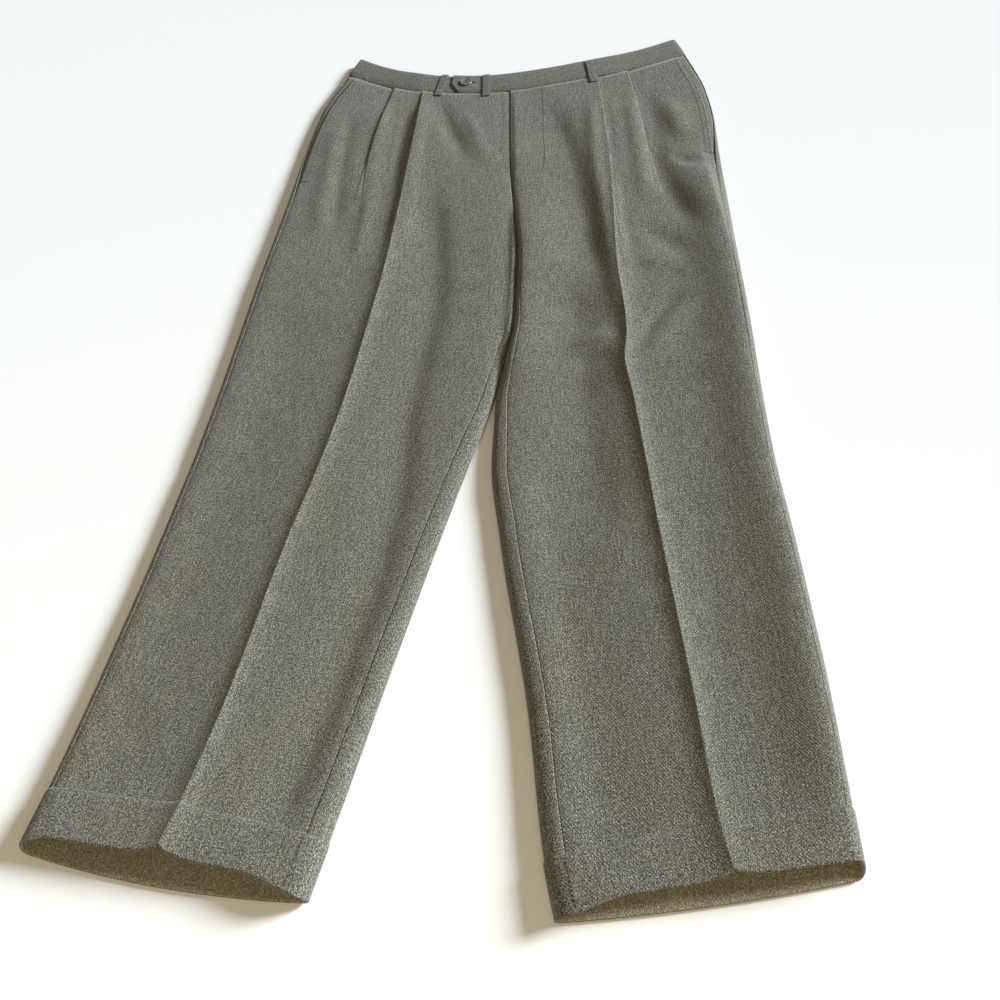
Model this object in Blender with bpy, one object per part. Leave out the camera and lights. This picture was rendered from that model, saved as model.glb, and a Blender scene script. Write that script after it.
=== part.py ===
"""Pleated dress trousers with turn-ups, fastened and laid flat with the front up.

Metres. +X is to the right of someone looking from the hems to the waist, +Y runs to the waist, +Z is up.
The wearer's right leg is on the -X side. Plan places in the tables are measured from the middle of the
waist; place_on_origin() then moves the whole garment so that its box is centred over the origin.
"""

import math

import bpy
import numpy as np

# Driving sizes
WALL = 0.0012  # one layer of cloth
GAP = 0.0003  # between neighbouring pieces
BAND_HEIGHT = 0.038
BAND_WALL = 0.0024  # a waistband is two layers
PLEAT_PITCH = 0.0016  # from layer to layer in a pleat
PLEAT_MARGIN = 0.006  # flat cloth modelled with a pleat on each side of it
EDGE_RADIUS = 0.0055  # how far a side's round fold reaches into the leg
UNDERLAP = 0.012  # right front under the fly edge
UNDERLAP_END = 0.155  # distance below the waist seam
SEAM_RISE = 0.012  # centre back above centre front at the waist
OUTSIDE = WALL + GAP  # from a layer to the one laid on it
SEAM_CLEAR = 0.75 * GAP  # from the inside leg seam to each of its panels, where it turns round the edge
WAIST_GAP = 0.0009  # the waist seam is curved, so its pieces are a little further apart
HIP_SPACES = 4  # the table's spaces, from the waist down, that have a section between
LOOP_WIDTH = 0.010
LOOP_WALL = 0.0012
LOOP_TAIL = 0.007  # how far a belt loop reaches below the waistband
LOOP_TOP = 0.97  # how far up the waistband's height a back loop reaches
LOOP_SEAT = 0.02  # distance below the waist seam of the cloth that a front loop's tail lies on
BACK_LIFT = LOOP_WALL + GAP  # the back waistband lies on its belt loops
MOUTH_INNER = 0.060  # length over which the front of an open mouth leaves its inner end
MOUTH_OUTER = 0.026  # and its outer end
PEAK_REACH = 0.012  # how narrow the crease's peak is in the mouth
RIGHT_MOUTH_STANDS = 0.35  # share of the mouth's set-back that is left at its outer end
LEFT_MOUTH_STANDS = 1.0
PLEAT_TURN = 0.0012  # length of cloth that turns round at a pleat's fold
SEAM_RISE_END = 0.20  # distance below the waist seam where the centre back's rise has gone
WAIST_LIFT_END = 0.07  # and where the back has come down from the waistband's height
UNDERLAP_FADE = 0.03  # length over which the underlap narrows to nothing
LAP_SETTLE = 0.02  # how far past the underlap's end the lower front starts to rise level with the other
LAP_LEVEL = 0.04  # length over which it does
HEM_LIFT_ABOVE = 0.045  # how far above the turn-up the back starts to rise onto it
HEM_LIFT_END = 0.015  # and where it has risen
BUTTON_RADIUS = 0.0075
BUTTON_THICK = 0.0026
BUTTON_RIM = 0.0009
BUTTON_SIDES = 20
HOLE_RADIUS = 0.0009
HOLE_SPACING = 0.0016
HOLE_SIDES = 8
TINY = 1e-9  # keeps a length of nothing from dividing by nothing

# The line where the two legs meet, from the waist down to the fork where they part.
CENTRE_COLUMNS = ("y", "x")
CENTRE_ROWS = (
    (-0.069, -0.003),
    (-0.105, -0.002),
    (-0.186, 0.001),
    (-0.269, 0.006),
    (-0.294, 0.009),
    (-0.383, 0.015),
    (-0.470, 0.014),
    (-0.527, 0.006),
    (-0.577, -0.002),
)
FORK_Y = -0.577

# One row for each section across a leg, from the waist seam to the hem. Plan places of the inner edge, the
# crease and the outer edge; heights of the upper cloth at those places; how sharp the crease is, from 0 to 1;
# how round the inner edge is (0 where the legs are one), and how far the inside leg seam lies in from that
# edge.
LEG_COLUMNS = (
    "inner_x", "inner_y", "crease_x", "crease_y", "outer_x", "outer_y", "inner_z", "crease_z", "outer_z",
    "ridge", "roll", "seam_in",
)
RIGHT_LEG_ROWS = (
    (-0.003, -0.069, -0.119, -0.056, -0.226, -0.001, 0.0160, 0.0158, 0.0092, 0.0, 0.0, 0.0),
    (-0.002, -0.105, -0.120, -0.101, -0.251, -0.076, 0.0160, 0.0163, 0.0092, 0.0, 0.0, 0.0),
    (0.000, -0.150, -0.122, -0.155, -0.260, -0.140, 0.0158, 0.0168, 0.0095, 0.1, 0.0, 0.0),
    (0.003, -0.210, -0.125, -0.215, -0.266, -0.215, 0.0150, 0.0170, 0.0095, 0.3, 0.0, 0.0),
    (0.009, -0.294, -0.129, -0.300, -0.274, -0.300, 0.0120, 0.0168, 0.0090, 0.5, 0.4, 0.0),
    (0.015, -0.383, -0.134, -0.388, -0.283, -0.392, 0.0100, 0.0165, 0.0090, 0.8, 1.0, 0.003),
    (0.010, -0.500, -0.145, -0.495, -0.291, -0.486, 0.0090, 0.0160, 0.0085, 1.0, 1.0, 0.010),
    (-0.002, -0.577, -0.154, -0.570, -0.297, -0.560, 0.0085, 0.0160, 0.0085, 1.0, 1.0, 0.014),
    (-0.023, -0.656, -0.166, -0.643, -0.304, -0.630, 0.0085, 0.0160, 0.0085, 1.0, 1.0, 0.017),
    (-0.055, -0.780, -0.191, -0.765, -0.319, -0.748, 0.0085, 0.0165, 0.0085, 1.0, 1.0, 0.018),
    (-0.089, -0.920, -0.213, -0.898, -0.338, -0.876, 0.0085, 0.0180, 0.0090, 1.0, 1.0, 0.018),
    (-0.114, -1.027, -0.236, -1.007, -0.357, -0.989, 0.0090, 0.0215, 0.0105, 1.0, 1.0, 0.018),
    (-0.125, -1.071, -0.247, -1.053, -0.366, -1.036, 0.0090, 0.0240, 0.0120, 1.0, 1.0, 0.018),
)
LEFT_LEG_ROWS = (
    (-0.003, -0.069, 0.109, -0.047, 0.225, -0.002, 0.0160, 0.0158, 0.0092, 0.0, 0.0, 0.0),
    (-0.002, -0.105, 0.114, -0.103, 0.245, -0.078, 0.0160, 0.0163, 0.0092, 0.0, 0.0, 0.0),
    (0.000, -0.150, 0.118, -0.152, 0.251, -0.138, 0.0158, 0.0168, 0.0095, 0.1, 0.0, 0.0),
    (0.003, -0.210, 0.122, -0.212, 0.252, -0.206, 0.0150, 0.0170, 0.0095, 0.3, 0.0, 0.0),
    (0.009, -0.294, 0.124, -0.297, 0.255, -0.295, 0.0120, 0.0168, 0.0090, 0.5, 0.4, 0.0),
    (0.015, -0.383, 0.125, -0.385, 0.258, -0.385, 0.0100, 0.0165, 0.0090, 0.8, 1.0, 0.003),
    (0.011, -0.495, 0.133, -0.500, 0.262, -0.498, 0.0090, 0.0165, 0.0085, 1.0, 1.0, 0.010),
    (0.004, -0.540, 0.130, -0.540, 0.263, -0.540, 0.0088, 0.0175, 0.0085, 1.0, 1.0, 0.012),
    (-0.002, -0.577, 0.136, -0.582, 0.264, -0.584, 0.0085, 0.0160, 0.0085, 1.0, 1.0, 0.014),
    (-0.003, -0.655, 0.145, -0.658, 0.267, -0.657, 0.0085, 0.0160, 0.0085, 1.0, 1.0, 0.017),
    (0.009, -0.750, 0.156, -0.755, 0.275, -0.751, 0.0085, 0.0165, 0.0085, 1.0, 1.0, 0.018),
    (0.039, -0.920, 0.175, -0.907, 0.285, -0.895, 0.0085, 0.0180, 0.0095, 1.0, 1.0, 0.018),
    (0.054, -1.039, 0.188, -1.018, 0.289, -1.001, 0.0090, 0.0210, 0.0135, 1.0, 1.0, 0.018),
    (0.063, -1.082, 0.197, -1.062, 0.291, -1.047, 0.0090, 0.0225, 0.0160, 1.0, 1.0, 0.018),
)

# The open mouth at the hem, for the last rows of each leg: how far the front lies back from it, how much more
# it does at the crease, and how far the back's middle reaches beyond it.
MOUTH_COLUMNS = ("set_back", "peak_back", "back_drop")
RIGHT_MOUTH_ROWS = (
    (0.000, 0.000, 0.000),
    (0.000, 0.000, 0.000),
    (0.000, 0.000, 0.001),
    (0.004, 0.003, 0.005),
    (0.011, 0.007, 0.008),
)
LEFT_MOUTH_ROWS = (
    (0.000, 0.000, 0.000),
    (0.000, 0.000, 0.000),
    (0.000, 0.000, 0.001),
    (0.004, 0.002, 0.002),
    (0.010, 0.005, 0.003),
)

# Each pleat: how deep its fold is, how far its fold edge lies outside the crease at the waist, half way and
# where it ends, the distance below the waist seam where its layers stop overlapping, and the length over
# which what is left of it then fades.
PLEAT_COLUMNS = ("depth", "out_top", "out_mid", "out_end", "open", "fade")
RIGHT_PLEATS = (
    (0.014, 0.000, 0.000, 0.000, 0.240, 0.100),
    (0.012, 0.042, 0.052, 0.046, 0.130, 0.120),
)
LEFT_PLEATS = (
    (0.014, 0.000, 0.000, 0.000, 0.250, 0.100),
    (0.012, 0.041, 0.046, 0.047, 0.140, 0.120),
)

# Side seam and pocket, by distance below the waist seam: how far in from the outer edge the front's side and
# the back's side lie. Where they differ, the pocket stands open and its facing shows.
SIDE_COLUMNS = ("down", "front_in", "back_in")
SIDE_ROWS = (
    (0.000, 0.0150, 0.0030),
    (0.060, 0.0115, 0.0030),
    (0.120, 0.0100, 0.0040),
    (0.170, 0.0100, 0.0080),
    (0.195, 0.0100, 0.0100),
    (2.000, 0.0100, 0.0100),
)
POCKET_TOP, POCKET_END = 0.0, 0.200
POCKET_UNDER = 0.014  # how far the facing reaches under the front
FACING_COLUMNS = 5

# Belt loops on the front: place of the top end and of the bottom end.
LOOP_COLUMNS = ("name", "top_x", "top_y", "bottom_x", "bottom_y", "over")
FRONT_LOOPS = (
    ("belt_loop_front_right", -0.090, -0.024, -0.103, -0.0695, "right"),
    ("belt_loop_tab", -0.031, -0.032, -0.037, -0.0775, "tab"),
    ("belt_loop_front_left", 0.094, -0.016, 0.101, -0.0610, "left"),
)
# Belt loops on the back: how far along the waist from centre back to the side, from 0 to 1.
BACK_LOOP_COLUMNS = ("name", "side", "share")
BACK_LOOPS = (
    ("belt_loop_back_right", "right", 0.62),
    ("belt_loop_centre_back", "left", 0.0),
    ("belt_loop_back_left", "left", 0.62),
)

# Height of the waistband's middle on the front, by share of the way from the centre to the side. The right
# one passes under the left one's tab.
BAND_COLUMNS = ("share", "left_z", "right_z")
BAND_ROWS = (
    (0.00, 0.0160, 0.0133),
    (0.30, 0.0160, 0.0133),
    (0.50, 0.0148, 0.0135),
    (0.72, 0.0112, 0.0112),
    (1.00, 0.0095, 0.0095),
)

# The fastening tab: distance of its point and of its lower corner from the centre, along the waistband.
TAB_POINT = 0.077
TAB_CORNER = 0.065
TAB_CLEAR = 0.03  # how far up the waistband's height the tab's lower edge lies
TAB_STEPS = (1.0, 0.8, 0.6, 0.4, 0.2, 0.0)  # from its end to the centre
BAND_SHARES = (0.0, 0.5, 1.0)  # up the waistband's height
BAND_LEAN = 0.34  # how far the waistband's sides lean in, for each unit of height
BAND_START_RIGHT = -0.020  # where its front end lies: it runs under the other side's
BAND_START_LEFT = 0.006  # where its body begins, past the tab
BAND_EDGE_REACH = EDGE_RADIUS + 0.001  # its round fold at the side
BUTTON_PLACE = (-0.062, -0.045)

# Cloth and button colours, linear
CLOTH = (0.185, 0.180, 0.150, 1.0)
BAND_CLOTH = (0.180, 0.172, 0.140, 1.0)
INSIDE_CLOTH = (0.150, 0.135, 0.095, 1.0)
HORN = (0.110, 0.110, 0.095, 1.0)


def through(places, values, at):
    """A smooth curve through the values, with no overshoot between them (a monotone cubic)."""
    places = np.asarray(places, float)
    values = np.asarray(values, float)
    at = np.clip(np.asarray(at, float), places[0], places[-1])
    step = np.diff(places)
    slope = np.diff(values) / step
    tangent = np.zeros(len(places))
    tangent[0], tangent[-1] = slope[0], slope[-1]
    for k in range(1, len(places) - 1):
        if slope[k - 1] * slope[k] > 0:
            near, far = 2 * step[k] + step[k - 1], step[k] + 2 * step[k - 1]
            tangent[k] = (near + far) / (near / slope[k - 1] + far / slope[k])
    cell = np.clip(np.searchsorted(places, at, side="right") - 1, 0, len(step) - 1)
    f = (at - places[cell]) / step[cell]
    rise = (2 * f**3 - 3 * f**2 + 1) * values[cell] + (3 * f**2 - 2 * f**3) * values[cell + 1]
    lean = (f**3 - 2 * f**2 + f) * tangent[cell] + (f**3 - f**2) * tangent[cell + 1]
    return rise + lean * step[cell]


def smooth(f):
    f = np.clip(f, 0.0, 1.0)
    return f * f * (3 - 2 * f)


def column(rows, columns, name):
    return [row[columns.index(name)] for row in rows]


def named(rows, columns):
    """The rows as dictionaries."""
    return [dict(zip(columns, row)) for row in rows]


class Leg:
    """One leg with its half of the hips, as sections across it at a distance below the waist seam.

    sign is -1 for the wearer's right and 1 for the left.
    """

    def __init__(self, rows, mouth, pleats, sign, stands):
        self.rows, self.mouth, self.pleats = rows, mouth, named(pleats, PLEAT_COLUMNS)
        self.sign, self.stands = sign, stands
        crease = np.array([column(rows, LEG_COLUMNS, "crease_x"), column(rows, LEG_COLUMNS, "crease_y")])
        steps = np.linalg.norm(np.diff(crease), axis=0)
        self.downs = np.concatenate([[0.0], np.cumsum(steps)])
        self.hem, self.turn_up_top = self.downs[-1], self.downs[-2]

    def stations(self):
        """Distances of the sections that are modelled: those of the table and some between them."""
        between = [(self.downs[k] + self.downs[k + 1]) / 2 for k in range(HIP_SPACES)]
        lift = [self.turn_up_top - HEM_LIFT_ABOVE, self.turn_up_top - HEM_LIFT_END]
        hem = [*lift, (self.turn_up_top + self.hem) / 2]
        found = np.array(sorted([*self.downs, *between, *hem]))
        found[0] = WAIST_GAP
        return found

    def section(self, down):
        """The numbers of the section at this distance, as a dictionary."""
        row = {}
        for name in LEG_COLUMNS:
            row[name] = float(through(self.downs, column(self.rows, LEG_COLUMNS, name), down))
        for name in MOUTH_COLUMNS:
            downs = self.downs[-len(self.mouth):]
            row[name] = float(through(downs, column(self.mouth, MOUTH_COLUMNS, name), down))
        if row["inner_y"] > FORK_Y:
            ys = column(CENTRE_ROWS, CENTRE_COLUMNS, "y")[::-1]
            xs = column(CENTRE_ROWS, CENTRE_COLUMNS, "x")[::-1]
            row["inner_x"] = float(through(ys, xs, row["inner_y"]))
        if self.sign < 0:
            row["inner_z"] -= OUTSIDE * float(1 - smooth((down - UNDERLAP_END - LAP_SETTLE) / LAP_LEVEL))
        row["inner_x"] += self.sign * (GAP / 2 + float(smooth(row["roll"] * 5)) * (WALL + GAP / 2) / 2)
        row["down"], row["stands"] = down, self.stands
        for name in SIDE_COLUMNS[1:]:
            downs = column(SIDE_ROWS, SIDE_COLUMNS, "down")
            row[name] = float(np.interp(down, downs, column(SIDE_ROWS, SIDE_COLUMNS, name)))
        row["rise"] = SEAM_RISE * float(1 - smooth(down / SEAM_RISE_END))
        waist_lift = (BACK_LIFT + BAND_WALL / 2 - WALL / 2) * float(1 - smooth(down / WAIST_LIFT_END))
        lift_starts, lift_ends = self.turn_up_top - HEM_LIFT_ABOVE, self.turn_up_top - HEM_LIFT_END
        hem_lift = OUTSIDE * float(smooth((down - lift_starts) / (lift_ends - lift_starts)))
        row["floor_z"] = WALL / 2 + waist_lift + hem_lift
        for place in ("inner", "crease", "outer"):
            row[place] = np.array([row[place + "_x"], row[place + "_y"]])
        row["crease_at"] = float(np.linalg.norm(row["crease"] - row["inner"]))
        row["width"] = row["crease_at"] + float(np.linalg.norm(row["outer"] - row["crease"]))
        row["pleat_at"], row["closed"], row["pitch"] = [], [], []
        for pleat in self.pleats:
            opens, fades = pleat["open"], pleat["fade"]
            outs = (pleat["out_top"], pleat["out_mid"], pleat["out_end"])
            out = float(through((0.0, opens, opens + fades), outs, down))
            shut = 1 - 0.5 * down / opens if down < opens else 0.5 * max(0.0, 1 - (down - opens) / fades)
            row["pleat_at"].append(row["crease_at"] + out)
            row["closed"].append(shut)
            row["pitch"].append(PLEAT_PITCH * float(smooth(shut / 0.5)))
        row["drop"] = 2 * sum(row["pitch"])
        return row


def plan(row, across, under):
    """Plan places at these distances along the section; under is 0 on the front and 1 on the back."""
    across, under = np.asarray(across, float), np.asarray(under, float)
    mid, end = row["crease_at"], row["width"]
    at_inner = (across - mid) * (across - end) / (mid * end)
    at_crease = across * (across - end) / (mid * (mid - end))
    at_outer = across * (across - mid) / (end * (end - mid))
    found = np.outer(at_inner, row["inner"])
    found += np.outer(at_crease, row["crease"])
    found += np.outer(at_outer, row["outer"])
    found[:, 1] += under * row["rise"] * (1 - (across / end) ** 2)
    chord = (row["outer"] - row["inner"]) / np.linalg.norm(row["outer"] - row["inner"])
    to_waist = np.array([-chord[1], chord[0]]) * (1.0 if chord[0] > 0 else -1.0)
    from_inner = smooth(across / MOUTH_INNER)
    from_outer = row["stands"] + (1 - row["stands"]) * smooth((end - across) / MOUTH_OUTER)
    front = row["set_back"] * from_inner * from_outer
    front += row["peak_back"] * np.exp(-np.abs(across - mid) / PEAK_REACH)
    return found + np.outer((1 - under) * front - under * row["back_drop"] * at_crease, to_waist)


def crown(row, across):
    """Height of the upper cloth, before any pleat steps it down."""
    across = np.asarray(across, float)
    mid, end = row["crease_at"], row["width"]
    outer_z = row["outer_z"] + row["drop"]
    toward = np.clip(np.where(across < mid, across / mid, (end - across) / (end - mid)), 0.0, 1.0)
    edge = np.where(across < mid, row["inner_z"], outer_z)
    full = np.sin(toward * math.pi / 2)
    shape = (1 - row["ridge"]) * full + row["ridge"] * (0.5 * full + 0.5 * toward**3)
    return edge + (row["crease_z"] - edge) * shape


def round_fold(reach, half_height, roll, path):
    """Along a side fold's quarter round: (distance in from the edge, drop below the layer, its length)."""
    quarter = roll * math.hypot(reach, half_height) * math.pi / (2 * math.sqrt(2)) + TINY
    turn = np.clip(np.asarray(path, float) / quarter, 0.0, 1.0) * math.pi / 2
    inward = roll * reach * (1 - np.cos(turn)) + np.maximum(np.asarray(path, float) - quarter, 0.0)
    drop = roll * half_height * (1 - np.sin(turn))
    return inward, drop, quarter


def side_path(row, path, outer):
    """Places along the cloth from a side fold: path > 0 on the upper layer, < 0 on the lower one."""
    path = np.asarray(path, float)
    roll = 1.0 if outer else row["roll"]
    top = row["outer_z"] + row["drop"] if outer else row["inner_z"]
    layer = top - (row["drop"] if outer else 0.0)
    half = (layer - row["floor_z"]) / 2
    inward, drop, _ = round_fold(EDGE_RADIUS, half, roll, np.abs(path))
    across = row["width"] - inward if outer else inward
    upper = crown(row, across) - (row["drop"] if outer else 0.0) - drop
    lower = row["floor_z"] + drop
    z = np.where(path >= 0, upper, lower)
    under = np.where(path >= 0, drop / (2 * half), 1 - drop / (2 * half))
    return np.column_stack([plan(row, across, under), z])


def fold(depth, closed, pitch, along):
    """A pleat's section at these lengths of cloth from its fold edge: (distance out, drop)."""
    along = np.asarray(along, float)
    folded = np.where(along < 0, along, np.where(along < depth, -along, along - 2 * depth))
    out = (1 - closed) * along + closed * folded
    turn = PLEAT_TURN
    drop = pitch * (smooth((along + turn) / (2 * turn)) + smooth((along - depth + turn) / (2 * turn)))
    return out, drop


def pleat_columns(depth):
    """Lengths of cloth from a pleat's fold edge at which its section has a point."""
    fold_edge = [-PLEAT_MARGIN, -PLEAT_TURN, 0.0, PLEAT_TURN]
    inner_edge = [depth - PLEAT_TURN, depth, depth + PLEAT_TURN, depth + PLEAT_MARGIN]
    return np.array(fold_edge + inner_edge)


INNER_STEPS = (0.0, 0.015, 0.05, 0.10, 0.25, 0.58)  # from the inside leg seam to the first pleat
MIDDLE_STEPS = (0.5,)  # between the pleats
OUTER_STEPS = (0.35, 0.75, 0.95, 1.0)  # from the second pleat to the side seam


def front_section(leg, row):
    """Points across the front, from its inner side to its outer side."""
    first, second = leg.pleats[0]["depth"], leg.pleats[1]["depth"]
    _, _, quarter = round_fold(EDGE_RADIUS, (row["inner_z"] - row["floor_z"]) / 2, row["roll"], 0.0)
    start = row["seam_in"] + SEAM_CLEAR
    stop = row["pleat_at"][0] - PLEAT_MARGIN - row["roll"] * EDGE_RADIUS + quarter
    if leg.sign < 0:
        start -= UNDERLAP * float(smooth((UNDERLAP_END - row["down"]) / UNDERLAP_FADE))
    paths = start + (stop - start) * np.array(INNER_STEPS)
    inner = side_path(row, np.maximum(paths, 0.0), False)
    under = paths < 0
    inner[under, :2] = plan(row, paths[under], 0.0 * paths[under])
    out_1, drop_1 = fold(first, row["closed"][0], row["pitch"][0], pleat_columns(first))
    out_2, drop_2 = fold(second, row["closed"][1], row["pitch"][1], pleat_columns(second))
    at_1, at_2 = row["pleat_at"][0] + out_1, row["pleat_at"][1] + out_2
    between = at_1[-1] + (at_2[0] - at_1[-1]) * np.array(MIDDLE_STEPS)
    full_1 = np.full(len(between), drop_1[-1])
    across = np.concatenate([at_1, between, at_2])
    drops = np.concatenate([drop_1, full_1, drop_1[-1] + drop_2])
    middle = np.column_stack([plan(row, across, 0.0 * across), crown(row, across) - drops])
    half = (row["outer_z"] - row["floor_z"]) / 2
    _, _, quarter = round_fold(EDGE_RADIUS, half, 1.0, 0.0)
    begin = row["width"] - at_2[-1] - EDGE_RADIUS + quarter
    end = row["front_in"] + GAP / 2
    outer = side_path(row, begin + (end - begin) * np.array(OUTER_STEPS), True)
    return np.vstack([inner, middle, outer])


BACK_EDGE_STEPS = (0.0, 0.06, 0.25, 0.38, 0.5, 0.62, 1.0)  # round each side fold
BACK_STEPS = (0.2, 0.4, 0.6, 0.8)  # across the middle
BACK_EDGE_REACH = 0.018  # how much of the flat back belongs to a side fold
BELOW = 1e-7  # just under the middle of a side fold


def back_section(leg, row):
    """Points across the back, from its inner side round under the leg to its outer side."""
    steps = np.array(BACK_EDGE_STEPS)
    start = max(row["seam_in"] - SEAM_CLEAR, -BELOW)
    inner = side_path(row, start - (start + BACK_EDGE_REACH) * steps, False)
    end = row["back_in"] - GAP / 2
    outer = side_path(row, end - (end + BACK_EDGE_REACH) * steps, True)[::-1]
    half_in, half_out = (row["inner_z"] - row["floor_z"]) / 2, (row["outer_z"] - row["floor_z"]) / 2
    from_inner, _, _ = round_fold(EDGE_RADIUS, half_in, row["roll"], BACK_EDGE_REACH)
    from_outer, _, _ = round_fold(EDGE_RADIUS, half_out, 1.0, BACK_EDGE_REACH)
    first, last = float(from_inner), row["width"] - float(from_outer)
    across = first + (last - first) * np.array(BACK_STEPS)
    middle = np.column_stack([plan(row, across, 1.0 + 0.0 * across), row["floor_z"] + 0.0 * across])
    return np.vstack([inner, middle, outer])


def tangents(grid, axis, ring):
    """Directions along one axis of a grid, halfway between those of the spaces on either side."""
    steps = np.diff(grid, axis=axis)
    if ring:
        closing = np.take(grid, [0], axis=axis) - np.take(grid, [-1], axis=axis)
        steps = np.concatenate([closing, steps, closing], axis=axis)
    else:
        first, last = np.take(steps, [0], axis=axis), np.take(steps, [-1], axis=axis)
        steps = np.concatenate([first, steps, last], axis=axis)
    steps /= np.linalg.norm(steps, axis=2, keepdims=True)
    count = grid.shape[axis]
    return np.take(steps, range(count), axis=axis) + np.take(steps, range(1, count + 1), axis=axis)


def normals_of(grid, ring=False):
    """Unit normals of a grid of points; ring closes each row on itself."""
    found = np.cross(tangents(grid, 1, ring), tangents(grid, 0, False))
    return found / np.linalg.norm(found, axis=2, keepdims=True)


def outward(normals, at):
    """The normals, turned so that those of this column point up."""
    return normals if normals[:, at, 2].mean() > 0 else -normals


def material(name, colour, roughness):
    made = bpy.data.materials.new(name)
    made.use_nodes = True
    shader = made.node_tree.nodes["Principled BSDF"]
    shader.inputs["Base Color"].default_value = colour
    shader.inputs["Roughness"].default_value = roughness
    shader.inputs["Metallic"].default_value = 0.0
    made.diffuse_color = colour
    return made


def cloth_object(name, grid, wall, colour, ring=False):
    """A named solid: the grid's surface given the thickness of its cloth."""
    rows, columns = grid.shape[:2]
    last = columns if ring else columns - 1
    faces = []
    for i in range(rows - 1):
        for j in range(last):
            k = (j + 1) % columns
            faces.append((i * columns + j, i * columns + k, (i + 1) * columns + k, (i + 1) * columns + j))
    mesh = bpy.data.meshes.new(name)
    mesh.from_pydata(grid.reshape(-1, 3).tolist(), [], faces)
    mesh.update()
    mesh.shade_smooth()
    made = bpy.data.objects.new(name, mesh)
    bpy.context.scene.collection.objects.link(made)
    made.data.materials.append(material(name + "_finish", colour, 0.9))
    thick = made.modifiers.new("Cloth", "SOLIDIFY")
    thick.thickness = wall
    thick.offset = 0.0
    return made


def grid_of(leg, downs, section):
    return np.array([section(leg, leg.section(down)) for down in downs])


def build_panels(leg, side):
    downs = leg.stations()
    cloth_object(f"front_{side}", grid_of(leg, downs, front_section), WALL, CLOTH)
    cloth_object(f"back_{side}", grid_of(leg, downs, back_section), WALL, CLOTH)


def build_turn_up(leg, side):
    """A ring round the leg, one layer out."""
    downs = leg.stations()[-3:]
    fronts = grid_of(leg, downs, front_section)
    backs = grid_of(leg, downs, back_section)
    ring = np.concatenate([fronts, backs[:, ::-1]], axis=1)
    out = outward(normals_of(ring, ring=True), fronts.shape[1] // 2)
    cloth_object(f"turn_up_{side}", ring + OUTSIDE * out, WALL, CLOTH, ring=True)


def build_pocket_facing(leg, side):
    """The strip that shows in the pocket's mouth, one layer under the front."""
    downs = [down for down in leg.stations() if POCKET_TOP <= down <= POCKET_END]
    rows = []
    for down in downs:
        row = leg.section(down)
        first, last = row["back_in"] + 2 * GAP, row["front_in"] + POCKET_UNDER
        rows.append(side_path(row, np.linspace(first, last, FACING_COLUMNS), True))
    grid = np.array(rows)
    out = outward(normals_of(grid), FACING_COLUMNS // 2)
    cloth_object(f"pocket_facing_{side}", grid - OUTSIDE * out, WALL, INSIDE_CLOTH)


def band_line(leg, across, under):
    """The waist seam's plan places, and the direction across the waistband there."""
    row = leg.section(0.0)
    across = np.asarray(across, float)
    lean = BAND_LEAN * (np.clip(across, 0.0, None) / row["width"]) ** 2
    up = np.column_stack([-leg.sign * lean, np.ones(len(across))])
    return plan(row, across, under), up / np.linalg.norm(up, axis=1, keepdims=True)


def band_points(leg, across, z, under, share):
    """Points of the waistband at this share of its height."""
    seam, up = band_line(leg, across, under)
    return np.column_stack([seam + up * BAND_HEIGHT * share, z])


def band_front_z(leg, across):
    """Height of the waistband's middle on the front."""
    name = "left_z" if leg.sign > 0 else "right_z"
    share = np.clip(np.asarray(across, float) / leg.section(0.0)["width"], 0.0, 1.0)
    return through(column(BAND_ROWS, BAND_COLUMNS, "share"), column(BAND_ROWS, BAND_COLUMNS, name), share)


BAND_FRONT_COLUMNS = 14
BAND_BACK_COLUMNS = 12
BAND_FOLD_TURNS = (75, 45, 15, -15, -45, -75)


def band_grid(leg, start):
    """The waistband from its front end round the side to centre back. start is its front end."""
    width, reach = leg.section(0.0)["width"], BAND_EDGE_REACH
    back_z = BACK_LIFT + BAND_WALL / 2
    front = np.linspace(start, width - reach, BAND_FRONT_COLUMNS)
    turns = np.radians(BAND_FOLD_TURNS)
    side_z = float(band_front_z(leg, [width])[0])
    fold_across = width - reach + reach * np.cos(turns)
    fold_z = (side_z + back_z) / 2 + (side_z - back_z) / 2 * np.sin(turns)
    back = np.linspace(width - reach, GAP / 2, BAND_BACK_COLUMNS)
    across = np.concatenate([front, fold_across, back])
    z = np.concatenate([band_front_z(leg, front), fold_z, np.full(len(back), back_z)])
    under = np.concatenate([0 * front, (1 - np.sin(turns)) / 2, 0 * back + 1])
    return np.array([band_points(leg, across, z, under, share) for share in BAND_SHARES])


def build_waistband_right(leg):
    """It runs a little way under the other side's waistband at the centre front."""
    cloth_object("waistband_right", band_grid(leg, BAND_START_RIGHT), BAND_WALL, BAND_CLOTH)


def build_waistband_left(leg, right):
    """It carries on across the centre front as the pointed tab that the button holds."""
    front_z = leg.section(0.0)["inner_z"]
    tab = []
    for share in BAND_SHARES:
        reach = TAB_CORNER + (TAB_POINT - TAB_CORNER) * min(1.0, share * 2)
        across = reach * np.array(TAB_STEPS)
        z = np.full(len(across), front_z)
        tab.append(band_points(right, across, z, 0 * across, max(share, TAB_CLEAR)))
    grid = np.concatenate([np.array(tab), band_grid(leg, BAND_START_LEFT)], axis=1)
    cloth_object("waistband_left", grid, BAND_WALL, BAND_CLOTH)


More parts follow.
